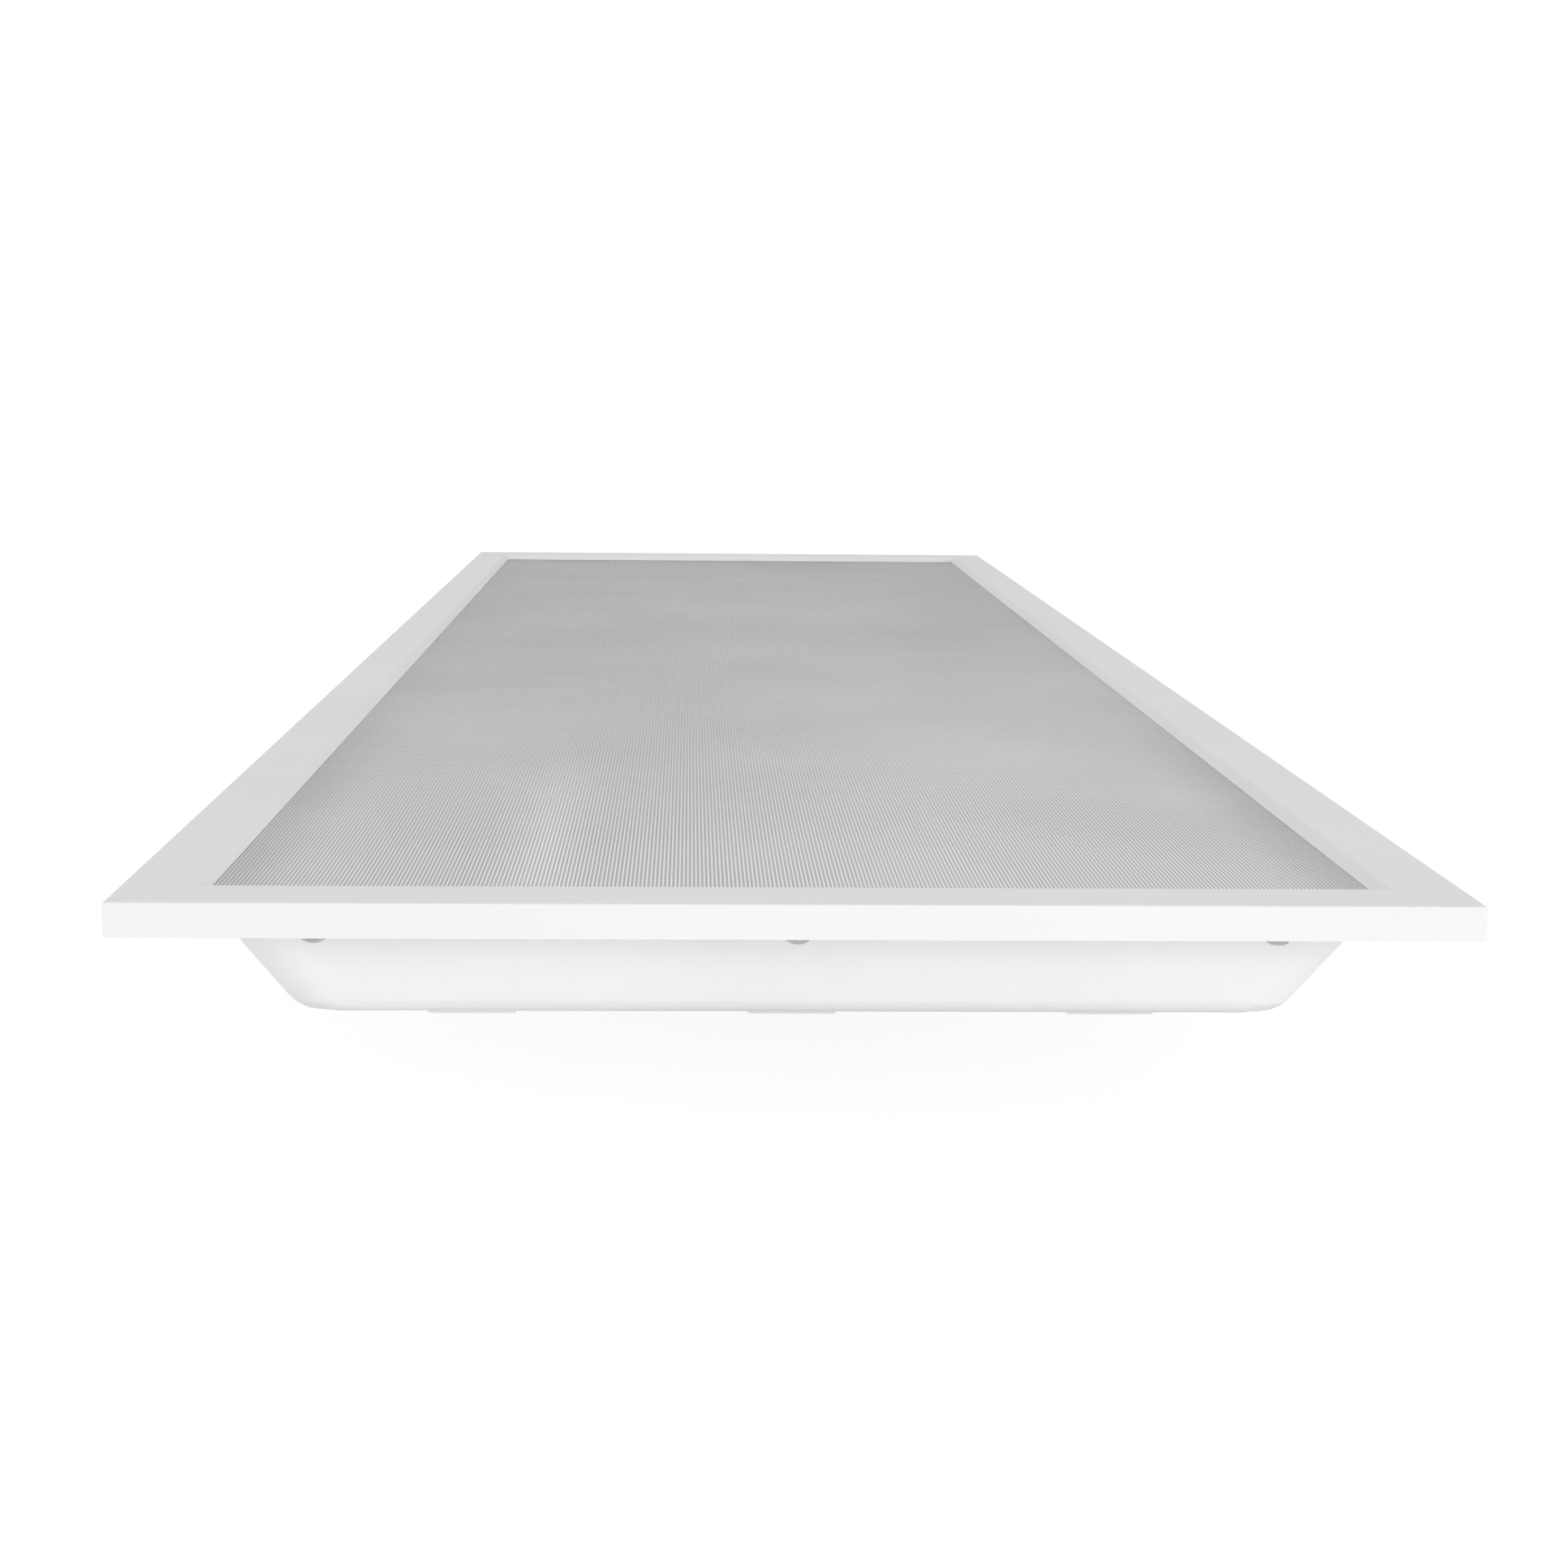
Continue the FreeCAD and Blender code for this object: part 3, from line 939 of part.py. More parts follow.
def lever(label, y):
    half = "(dims.lever_width / 2)"
    hub = rod(f"lever_hub_{label}", (LEVER_X, f"{y} - {half}", LEVER_Z), "dims.lever_thick / 2",
              "dims.lever_width", "Y")
    arm = block(f"lever_arm_{label}", (LEVER_X, f"{y} - {half}", BLOCK_FLOOR),
                (f"{LEVER_X} + dims.lever_length", f"{y} + {half}", f"{BLOCK_FLOOR} + dims.lever_thick"))
    trunnions = rod(f"lever_trunnions_{label}", (LEVER_X, f"{y} - {half} - dims.lever_gap - 0.8", LEVER_Z),
                    "dims.lever_trunnion", "dims.lever_width + 2 * dims.lever_gap + 1.6", "Y")
    keep(fuse(f"lever_{label}", [hub, arm, trunnions]), f"terminal_lever_{label}")


# ---- leads and earthing --------------------------------------------------------------------

def shape_node(label, shape):
    piece = doc.addObject("Part::Feature", label)
    piece.Shape = shape
    keep(piece, label)


def leads():
    start = f"{DRIVER_LOW_Y} + dims.driver_wall"
    clamp_face = "dims.block_shift - dims.clamp_length / 2"
    mains = []
    for side, pole in ((-1, "line"), (1, "neutral")):
        x = f"{side} * dims.lead_spread / 2 - dims.driver_shift"
        y = pole_y(POLES[pole])
        mains.append(lead([(x, start, LEAD_Z), (x, y, LEAD_Z), (clamp_face, y, LEAD_Z)],
                          "dims.lead_radius", "dims.lead_bend"))
    shape_node("mains_leads", Part.makeCompound(mains))
    earth = pole_y(POLES["earth"])
    barrel = f"{EARTH_Y} - dims.lug_length + 2"
    earth_route = [(clamp_face, earth, LEAD_Z), (EARTH_X, earth, LEAD_Z), (EARTH_X, barrel, LEAD_Z)]
    shape_node("earth_lead", lead(earth_route, "dims.lead_radius", "dims.lead_bend"))
    output = []
    for side in (-1, 1):
        x, y = f"{GROMMET_X} + {side} * 2", output_y(side)
        top = f"{PAN_FLOOR} + dims.board_thick / 2"
        corners = [(f"{DRIVER_EDGE} - dims.driver_wall", y, LEAD_Z), (x, y, LEAD_Z),
                   (x, GROMMET_Y, LEAD_Z), (x, GROMMET_Y, top)]
        route = lead(corners, "dims.link_radius", "4 * dims.link_radius")
        run = Part.makeCylinder(value("dims.link_radius"), value("dims.link_spread - dims.link_radius"),
                                FreeCAD.Vector(value(x), value(GROMMET_Y), value(top)),
                                FreeCAD.Vector(0, side, 0))
        output.append(route.fuse(run))
    shape_node("output_leads", Part.makeCompound(output))


def earthing():
    top = f"{BOX_FLOOR} - dims.earth_boss"
    low = f"({top} - dims.lug_thick)"
    ring = rod("lug_ring", (EARTH_X, EARTH_Y, low), "dims.screw_radius + 2", "dims.lug_thick")
    barrel = rod("lug_barrel", (EARTH_X, f"{EARTH_Y} - dims.lug_length + 2", LEAD_Z),
                 "dims.lead_radius + 0.6", "dims.lug_length - 8", "Y")
    tongue = block("lug_tongue", (f"{EARTH_X} - 2", f"{EARTH_Y} - 8", low), (f"{EARTH_X} + 2", EARTH_Y, top))
    hole = rod("lug_hole", (EARTH_X, EARTH_Y, f"{low} - 1"), "dims.screw_radius + dims.screw_slack",
               "dims.lug_thick + 2")
    keep(cut("earth_lug", fuse("lug_body", [ring, barrel, tongue]), [hole]), "earth_lug")
    master = pan_head_screw("earth_screw_master", "(dims.earth_boss + dims.lug_thick - 0.5)")
    keep(copies("earth_screw", master, [(EARTH_X, EARTH_Y, low)]), "earth_screw")


def lead_grommet():
    """Rubber grommet through the box floor and the pan."""
    radius, wall = "dims.grommet_radius", "dims.grommet_wall"
    seat = "(dims.box_sheet + dims.pan_sheet)"
    grommet = revolved("grommet_master", [
        (f"{radius} - {wall}", -1.2), (f"{radius} + 1.6", -1.2), (f"{radius} + 1.6", 0), (radius, 0),
        (radius, seat), (f"{radius} + 1.6", seat), (f"{radius} + 1.6", f"{seat} + 1"),
        (f"{radius} - {wall}", f"{seat} + 1")])
    ring = copies("grommet_ring", grommet, [(GROMMET_X, GROMMET_Y, BOX_FLOOR)])
    reach, half = f"({radius} + 2)", "(2 + 1.5 * dims.link_radius)"
    notch = block("grommet_notch", (f"{GROMMET_X} - {half}", f"{GROMMET_Y} - {reach}", PAN_FLOOR),
                  (f"{GROMMET_X} + {half}", f"{GROMMET_Y} + {reach}", f"{PAN_FLOOR} + 2"))
    keep(cut("lead_grommet", ring, [notch]), "lead_grommet")


# ---- grid clips ----------------------------------------------------------------------------

CLIP_X = f"({HALF_X} - dims.clip_pivot_inset)"
CLIP_SEAT = f"({FLANGE_REAR} - dims.clip_plate)"


def grid_clips():
    """Swing-out clips for the ceiling grid, each on a bracket with an ear for a hanger wire."""
    y = CLIP_Y
    wide, far = "dims.bracket_half_width", "dims.bracket_half_length"
    plate = block("bracket_plate", (f"{CLIP_X} - {wide}", f"{y} - {far}", CLIP_SEAT),
                  (f"{CLIP_X} + {wide}", f"{y} + {far}", FLANGE_REAR))
    ear = block("bracket_ear", (f"{CLIP_X} - {wide}", f"{y} + 8", f"{CLIP_SEAT} - dims.ear_drop"),
                (f"{CLIP_X} - {wide} + dims.clip_plate", f"{y} + {far}", FLANGE_REAR))
    screw_x = f"{HALF_X} - dims.screw_inset"
    holes = [rod(f"bracket_hole_{step + 1}", (screw_x, f"{y} + {step} * dims.bracket_screw",
                                              f"{CLIP_SEAT} - 1"),
                 "dims.screw_radius + 0.1", "dims.clip_plate + 2") for step in (-1, 1)]
    holes.append(rod("bracket_pin_hole", (CLIP_X, y, f"{CLIP_SEAT} - 1"), "dims.clip_pin + dims.clip_slack",
                     "dims.clip_plate + 2"))
    holes.append(rod("hanger_hole", (f"{CLIP_X} - {wide} - 1", f"{y} + dims.bracket_screw",
                                     f"{CLIP_SEAT} - dims.ear_drop + dims.hanger_edge"), "dims.hanger_radius",
                     "dims.clip_plate + 2", "X"))
    bracket = cut("bracket", fuse("bracket_body", [plate, ear]), holes)
    half = "dims.clip_half_width"
    top = f"({CLIP_SEAT} - dims.clip_gap)"
    low = f"({top} - dims.clip_plate)"
    shelf = f"({top} - dims.clip_rise)"
    knee = f"({y} - {half} - dims.clip_plate)"
    foot = block("clip_foot", (f"{CLIP_X} - {half}", knee, low), (f"{CLIP_X} + {half}", f"{y} + {half}", top))
    riser = block("clip_riser", (f"{CLIP_X} - {half}", knee, shelf),
                  (f"{CLIP_X} + {half}", f"{y} - {half}", top))
    hook = block("clip_hook", (f"{CLIP_X} - {half}", f"{y} - dims.clip_reach", shelf),
                 (f"{CLIP_X} + {half}", f"{y} - {half}", f"{shelf} + dims.clip_plate"))
    hole = rod("clip_pin_hole", (CLIP_X, y, f"{low} - 1"), "dims.clip_pin + dims.clip_slack",
               "dims.clip_plate + 2")
    clip = cut("clip", fuse("clip_body", [foot, riser, hook]), [hole])
    across_x, across_y = (1, 0, 0), (0, 1, 0)
    for label, right in (("grid_clip_bracket", bracket), ("grid_clip", clip)):
        keep(right, f"{label}_back_right")
        left = keep(mirror(f"{label}_bl", right, across_x), f"{label}_back_left")
        keep(mirror(f"{label}_fr", right, across_y), f"{label}_front_right")
        keep(mirror(f"{label}_fl", left, across_y), f"{label}_front_left")
    pin, head = "dims.clip_pin", "(-2 * dims.clip_gap - dims.clip_plate)"
    rivet = revolved("clip_rivet", [
        (0, f"{head} - 1.2"), (f"1.3 * {pin}", f"{head} - 1.2"), (f"1.7 * {pin}", f"{head} - 0.6"),
        (f"1.7 * {pin}", head), (pin, head), (pin, "dims.clip_plate"), (0, "dims.clip_plate")])
    spots = [(signed(side, CLIP_X), signed(end, y), CLIP_SEAT) for side in (-1, 1) for end in (-1, 1)]
    keep(copies("clip_rivets", rivet, spots), "clip_rivets")


# ---- build ---------------------------------------------------------------------------------

for rail_name, lies_along_y, side_sign in (("frame_rail_left", True, -1), ("frame_rail_right", True, 1),
                                           ("frame_rail_front", False, -1), ("frame_rail_back", False, 1)):
    rail(rail_name, lies_along_y, side_sign)
corner_keys()
pan_screws(pan_head_screw("pan_head_screw", "dims.screw_reach"))
lens()
light_rows()
board_studs()
reflector()
link_leads()
back_pan()
driver_box()
box_cover()
box_rivets()
knockout_plug()
barrier_plate()
wiring_door()
driver()
box_floor_screws()
terminal_block()
earthing()
lead_grommet()
grid_clips()
doc.recompute()
leads()
doc.recompute()

faults = [item.Name for item in doc.Objects if {"Invalid", "Error"} & set(item.State)]
faults += [node.Label for node in nodes if node.Shape.isNull() or not node.Shape.isValid()]
if faults:
    raise SystemExit(f"not built: {faults}")
if len({node.Label for node in nodes}) != len(nodes):
    raise SystemExit("two nodes share a name")

os.makedirs("parts", exist_ok=True)
for node in nodes:
    node.Shape.exportStep(f"parts/{node.Label}.step")
    print(f"{node.Label}: {len(node.Shape.Solids)} solid(s), {node.Shape.Volume:.1f} mm3")
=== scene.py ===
import json
import math
from functools import partial

import bpy
from mathutils import Euler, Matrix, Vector


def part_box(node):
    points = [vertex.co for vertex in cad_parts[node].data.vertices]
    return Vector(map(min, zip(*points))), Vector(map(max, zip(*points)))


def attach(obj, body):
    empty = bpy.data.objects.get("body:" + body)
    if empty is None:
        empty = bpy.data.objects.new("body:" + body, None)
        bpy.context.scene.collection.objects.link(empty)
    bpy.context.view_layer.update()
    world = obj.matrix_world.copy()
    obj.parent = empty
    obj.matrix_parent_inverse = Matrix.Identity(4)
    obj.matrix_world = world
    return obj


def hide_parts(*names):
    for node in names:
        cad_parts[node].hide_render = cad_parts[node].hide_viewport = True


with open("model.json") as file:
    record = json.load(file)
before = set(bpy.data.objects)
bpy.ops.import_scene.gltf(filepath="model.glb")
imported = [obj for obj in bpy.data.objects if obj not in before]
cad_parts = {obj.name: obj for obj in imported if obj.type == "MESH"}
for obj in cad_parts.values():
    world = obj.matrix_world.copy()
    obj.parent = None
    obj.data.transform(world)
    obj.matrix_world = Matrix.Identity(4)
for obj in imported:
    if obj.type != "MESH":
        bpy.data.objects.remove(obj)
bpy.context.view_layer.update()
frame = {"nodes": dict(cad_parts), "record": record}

# A 1 ft x 4 ft lay-in ceiling panel lying face up on its driver box.
# X runs across it, Y along it away from the camera, Z up out of the lit face. Metres.
mm = 0.001
nodes = frame["nodes"]
tau = 2 * math.pi


def hexColour(code):
    channels = [int(code[i:i + 2], 16) / 255 for i in (1, 3, 5)]
    return [c / 12.92 if c <= 0.04045 else ((c + 0.055) / 1.055) ** 2.4 for c in channels] + [1.0]


def addNode(tree, kind, settings=None, links=None):
    node = tree.nodes.new(kind)
    for name, setting in (settings or {}).items():
        if isinstance(name, str) and hasattr(node, name):
            setattr(node, name, setting)
        else:
            node.inputs[name].default_value = setting
    for socket, source in (links or {}).items():
        tree.links.new(source, node.inputs[socket])
    return node


# A maths node whose inputs each take a number or another node's output
def mathNode(tree, operation, *sources):
    numbers = {i: source for i, source in enumerate(sources) if isinstance(source, (int, float))}
    links = {i: source for i, source in enumerate(sources) if i not in numbers}
    return addNode(tree, "ShaderNodeMath", {"operation": operation, **numbers}, links).outputs[0]


def newMaterial(name):
    material = bpy.data.materials.new(name)
    material.use_nodes = True
    material.node_tree.nodes.clear()
    return material, material.node_tree


def objectPoint(tree, stretch=(1, 1, 1), shift=(0, 0, 0)):
    place = addNode(tree, "ShaderNodeTexCoord")
    return addNode(tree, "ShaderNodeMapping", {"Scale": stretch, "Location": shift},
                   {"Vector": place.outputs["Object"]}).outputs[0]


# A colour ramp through stops, each a position and a colour, in rising order
def rampThrough(tree, source, stops):
    ramp = addNode(tree, "ShaderNodeValToRGB", links={"Fac": source})
    elements = ramp.color_ramp.elements
    while len(elements) < len(stops):
        elements.new(0.5)      # its place is set below
    for element, (position, colour) in zip(elements, stops):
        element.position = position
        element.color = colour
    return ramp.outputs["Color"]


mottleLook = {"detail": 3.0, "roughness": 0.55, "lowUntil": 0.3, "highFrom": 0.7}


# A soft mottle between two close colours, as every real finish has
def mottle(tree, point, patch, low, high, detail=mottleLook["detail"]):
    noise = addNode(tree, "ShaderNodeTexNoise", {
        "Scale": 1 / patch, "Detail": detail, "Roughness": mottleLook["roughness"]}, {"Vector": point})
    return rampThrough(tree, noise.outputs["Fac"], (
        (mottleLook["lowUntil"], hexColour(low)), (mottleLook["highFrom"], hexColour(high))))


def blended(tree, share, low, high):
    return addNode(tree, "ShaderNodeMix", {"data_type": "RGBA", 6: hexColour(low), 7: hexColour(high)},
                   {0: share}).outputs[2]


def bumpFrom(tree, height, deep):
    return addNode(tree, "ShaderNodeBump", {"Distance": deep, "Strength": 1.0},
                   {"Height": height}).outputs["Normal"]


grainDetail = 2.0


def noiseHeight(tree, point, grain):
    return addNode(tree, "ShaderNodeTexNoise", {"Scale": 1 / grain, "Detail": grainDetail},
                   {"Vector": point}).outputs["Fac"]


# Where a value lies between start and end, from 0 to 1
def shareOf(tree, source, start, end):
    return addNode(tree, "ShaderNodeMapRange", {"From Min": start, "From Max": end},
                   {"Value": source}).outputs[0]


def varied(tree, source, low, high):
    return addNode(tree, "ShaderNodeMapRange", {"To Min": low, "To Max": high}, {"Value": source}).outputs[0]


def finishSurface(tree, settings, links):
    shader = addNode(tree, "ShaderNodeBsdfPrincipled", settings, links)
    addNode(tree, "ShaderNodeOutputMaterial", links={"Surface": shader.outputs[0]})


# What every coated surface has unless its own look says otherwise. The gloss varies in patches a
# third as wide as the colour's
coatedDefaults = {"metal": 0.0, "specular": 0.5, "ior": 1.5, "glossPatches": 3}


# A coated, moulded or extruded surface: mottled colour, uneven gloss and a fine grain
def coatedSurface(name, ownLook):
    look = {**coatedDefaults, **ownLook}
    material, tree = newMaterial(name)
    point = objectPoint(tree)
    colour = mottle(tree, point, look["patch"], look["low"], look["high"])
    glossHeight = noiseHeight(tree, point, look["patch"] / look["glossPatches"])
    gloss = varied(tree, glossHeight, *look["roughness"])
    grain = bumpFrom(tree, noiseHeight(tree, point, look["grain"]), look["deep"])
    finishSurface(tree, {"Metallic": look["metal"], "IOR": look["ior"],
                         "Specular IOR Level": look["specular"]},
                  {"Base Color": colour, "Roughness": gloss, "Normal": grain})
    return material


coatedLooks = {
    # polyester powder coat on extruded aluminium: even white, a very faint orange peel of about 1 mm
    "powder-coated aluminium": {
        "low": "#DDDDDD", "high": "#E0E0E0", "patch": 90 * mm, "grain": 1.1 * mm, "deep": 0.003 * mm,
        "roughness": (0.52, 0.6), "specular": 0.3},
    # the same coat on pressed sheet steel: a slightly coarser peel, and the sheet's shallow waves
    "powder-coated sheet steel": {
        "low": "#EBEBEB", "high": "#EFEFEF", "patch": 60 * mm, "grain": 1.4 * mm, "deep": 0.005 * mm,
        "roughness": (0.5, 0.6), "specular": 0.3},
    # bright zinc plating on steel screws: blue-grey metal with hazy patches
    "zinc-plated steel": {
        "low": "#9EA1A3", "high": "#BDBFC0", "patch": 3 * mm, "grain": 0.4 * mm, "deep": 0.006 * mm,
        "roughness": (0.24, 0.38), "metal": 1.0},
    # zinc die casting: dull grey with the mould's sandy skin
    "die-cast zinc": {
        "low": "#8D8F92", "high": "#A3A5A8", "patch": 6 * mm, "grain": 0.6 * mm, "deep": 0.03 * mm,
        "roughness": (0.45, 0.6), "metal": 1.0},
    # drawn aluminium of blind rivets
    "drawn aluminium": {
        "low": "#C2C4C6", "high": "#D3D4D5", "patch": 2 * mm, "grain": 0.3 * mm, "deep": 0.008 * mm,
        "roughness": (0.3, 0.42), "metal": 1.0},
    # foamed PVC strip: dry and chalky, with closed cells of half a millimetre
    "closed-cell PVC foam": {
        "low": "#DCDCD6", "high": "#E9E9E4", "patch": 12 * mm, "grain": 0.6 * mm, "deep": 0.1 * mm,
        "roughness": (0.85, 0.95)},
    # foamed PET reflector film: the whitest piece, with a silky sheen
    "white PET reflector film": {
        "low": "#F1F1F0", "high": "#F6F6F5", "patch": 50 * mm, "grain": 0.9 * mm, "deep": 0.006 * mm,
        "roughness": (0.5, 0.6)},
    # yellow phosphor in silicone over the diode
    "phosphor silicone": {
        "low": "#E0BE52", "high": "#EBCB61", "patch": 1.5 * mm, "grain": 0.2 * mm, "deep": 0.01 * mm,
        "roughness": (0.3, 0.4)},
    # natural nylon studs: milky, slightly waxy
    "moulded nylon": {
        "low": "#DEDCD0", "high": "#E8E6DC", "patch": 3 * mm, "grain": 0.5 * mm, "deep": 0.01 * mm,
        "roughness": (0.38, 0.5)},
    # extruded PVC insulation of the leads
    "black PVC insulation": {
        "low": "#1B1B1C", "high": "#262627", "patch": 10 * mm, "grain": 0.5 * mm, "deep": 0.01 * mm,
        "roughness": (0.4, 0.5)},
    # glass-filled nylon of the knockout plug: matt black with a fine texture
    "black moulded nylon": {
        "low": "#191919", "high": "#232323", "patch": 6 * mm, "grain": 0.35 * mm, "deep": 0.02 * mm,
        "roughness": (0.5, 0.62)},
    # moulded EPDM rubber: deep dull black
    "EPDM rubber": {
        "low": "#141414", "high": "#1E1E1D", "patch": 5 * mm, "grain": 0.4 * mm, "deep": 0.02 * mm,
        "roughness": (0.65, 0.8)},
    # flame-retardant polycarbonate of the driver's case: spark-eroded mould texture
    "textured polycarbonate": {
        "low": "#DEDED9", "high": "#E6E6E2", "patch": 25 * mm, "grain": 0.5 * mm, "deep": 0.03 * mm,
        "roughness": (0.5, 0.62)},
    # polyester tape over the transformer's winding: glossy amber yellow
    "yellow polyester tape": {
        "low": "#C9982B", "high": "#DBAE3D", "patch": 8 * mm, "grain": 1.2 * mm, "deep": 0.03 * mm,
        "roughness": (0.25, 0.35)},
    # shrunk PET sleeve of the electrolytic capacitor
    "shrunk PET sleeve": {
        "low": "#161B45", "high": "#1E2456", "patch": 6 * mm, "grain": 0.8 * mm, "deep": 0.01 * mm,
        "roughness": (0.22, 0.3)},
    # tinned brass of clamps and lug: pale grey metal with warm patches
    "tinned brass": {
        "low": "#B9B4A6", "high": "#CBC8BE", "patch": 3 * mm, "grain": 0.3 * mm, "deep": 0.008 * mm,
        "roughness": (0.25, 0.38), "metal": 1.0},
    # polyamide of the terminal block: mid grey, satin, with flow marks
    "grey moulded polyamide": {
        "low": "#8B8D90", "high": "#989A9D", "patch": 9 * mm, "grain": 0.5 * mm, "deep": 0.015 * mm,
        "roughness": (0.35, 0.45)},
    # pigmented polyamide levers
    "orange moulded polyamide": {
        "low": "#DD6A12", "high": "#EA781B", "patch": 5 * mm, "grain": 0.5 * mm, "deep": 0.015 * mm,
        "roughness": (0.35, 0.45)},
}

materials = {name: coatedSurface(name, look) for name, look in coatedLooks.items()}


galvanisedLook = {
    "crystal": 4 * mm, "low": "#8F9396", "high": "#BDC0C2", "roughness": (0.28, 0.46),
    "scratch": 2 * mm, "scratchStretch": (1, 12, 1), "scratchDeep": 0.01 * mm,
}


# Hot-dip galvanised spring steel: grey metal whose zinc crystals, a few millimetres across, catch
# the light one by one
def galvanisedSteel(look):
    material, tree = newMaterial("galvanised spring steel")
    point = objectPoint(tree)
    crystals = addNode(tree, "ShaderNodeTexVoronoi", {"Scale": 1 / look["crystal"]}, {"Vector": point})
    tone = addNode(tree, "ShaderNodeSeparateColor", links={"Color": crystals.outputs["Color"]}).outputs[0]
    colour = rampThrough(tree, tone, ((0.0, hexColour(look["low"])), (1.0, hexColour(look["high"]))))
    scratches = noiseHeight(tree, objectPoint(tree, look["scratchStretch"]), look["scratch"])
    finishSurface(tree, {"Metallic": 1.0}, {
        "Base Color": colour, "Roughness": varied(tree, tone, *look["roughness"]),
        "Normal": bumpFrom(tree, scratches, look["scratchDeep"])})
    return material


solderMaskLook = {
    "gap": "#E4E4DE", "track": "#F0F0EE", "trackPitch": 8 * mm, "trackEdge": (1.2 * mm, 1.5 * mm),
    "trackHigh": 0.03 * mm, "patch": 3 * mm, "roughness": (0.3, 0.42), "ior": 1.5,
}


# White solder mask over copper: the broad tracks, one every 8 mm, show as faint raised, paler lanes
def whiteSolderMask(look):
    material, tree = newMaterial("white solder mask")
    point = objectPoint(tree)
    across = addNode(tree, "ShaderNodeSeparateXYZ", links={"Vector": point}).outputs["X"]
    lane = mathNode(tree, "PINGPONG", across, look["trackPitch"] / 2)
    track = shareOf(tree, lane, *look["trackEdge"])
    finishSurface(tree, {"IOR": look["ior"]}, {
        "Base Color": blended(tree, track, look["gap"], look["track"]),
        "Roughness": varied(tree, noiseHeight(tree, point, look["patch"]), *look["roughness"]),
        "Normal": bumpFrom(tree, track, look["trackHigh"])})
    return material


acrylicLook = {
    "colour": "#F4F6F7", "ior": 1.49, "transmission": 0.92, "grain": 0.8 * mm, "deep": 0.004 * mm,
    "roughness": (0.05, 0.16),
}


# Injection-moulded acrylic of the lens caps: clear, with the slight haze of a fine mould texture
def clearAcrylic(look):
    material, tree = newMaterial("moulded clear acrylic")
    haze = noiseHeight(tree, objectPoint(tree), look["grain"])
    finishSurface(tree, {"Base Color": hexColour(look["colour"]), "IOR": look["ior"],
                         "Transmission Weight": look["transmission"]},
                  {"Roughness": varied(tree, haze, *look["roughness"]),
                   "Normal": bumpFrom(tree, haze, look["deep"])})
    return material


earthLook = {
    "green": "#1C7A33", "yellow": "#D9C22B", "lanePitch": 1.2 * mm, "laneEdge": (0.28 * mm, 0.32 * mm),
    "patch": 3 * mm, "grain": 0.5 * mm, "deep": 0.01 * mm, "roughness": (0.4, 0.5), "ior": 1.52,
}


# Earth insulation: green PVC with two yellow lanes along the lead, 2.4 mm thick, which runs along X
# and then along Y, so the lanes follow its height
def greenYellowInsulation(look):
    material, tree = newMaterial("green-yellow PVC insulation")
    point = objectPoint(tree)
    height = addNode(tree, "ShaderNodeSeparateXYZ", links={"Vector": point}).outputs["Z"]
    lane = mathNode(tree, "PINGPONG", height, look["lanePitch"] / 2)
    colour = blended(tree, shareOf(tree, lane, *look["laneEdge"]), look["green"], look["yellow"])
    finishSurface(tree, {"IOR": look["ior"]}, {
        "Base Color": colour,
        "Roughness": varied(tree, noiseHeight(tree, point, look["patch"]), *look["roughness"]),
        "Normal": bumpFrom(tree, noiseHeight(tree, point, look["grain"]), look["deep"])})
    return material


boardLook = {
    "weave": 0.8 * mm, "dark": "#0F5A2B", "light": "#136634", "deep": 0.01 * mm, "patch": 4 * mm,
    "roughness": (0.28, 0.4), "ior": 1.55,
}


# Glass-epoxy board: green mask whose glass weave, about 0.8 mm, shows as a faint check
def glassEpoxyBoard(look):
    material, tree = newMaterial("glass-epoxy board")
    point = objectPoint(tree)
    weave = addNode(tree, "ShaderNodeTexChecker", {
        "Scale": 1 / look["weave"], "Color1": hexColour(look["dark"]), "Color2": hexColour(look["light"])},
        {"Vector": point})
    finishSurface(tree, {"IOR": look["ior"]}, {
        "Base Color": weave.outputs["Color"],
        "Roughness": varied(tree, noiseHeight(tree, point, look["patch"]), *look["roughness"]),
        "Normal": bumpFrom(tree, weave.outputs["Fac"], look["deep"])})
    return material


windingLook = {
    "gap": "#3B2A22", "wire": "#B5622D", "turns": 36, "wireEdge": (0.0, tau / 110), "deep": 0.3 * mm,
    "roughness": (0.5, 0.28), "ior": 1.6, "coat": 0.4,
}


# Toroidal choke: enamelled copper wire over dark ferrite, the turns drawn as rays round the ring
def enamelledWinding(look, centre):
    material, tree = newMaterial("enamelled copper winding")
    point = objectPoint(tree, shift=[-c for c in centre])
    parts = addNode(tree, "ShaderNodeSeparateXYZ", links={"Vector": point}).outputs
    angle = mathNode(tree, "ARCTAN2", parts["Y"], parts["X"])
    turn = mathNode(tree, "PINGPONG", angle, tau / (2 * look["turns"]))
    wire = shareOf(tree, turn, *look["wireEdge"])
    finishSurface(tree, {"IOR": look["ior"], "Coat Weight": look["coat"]}, {
        "Base Color": blended(tree, wire, look["gap"], look["wire"]),
        "Roughness": varied(tree, wire, *look["roughness"]), "Normal": bumpFrom(tree, wire, look["deep"])})
    return material


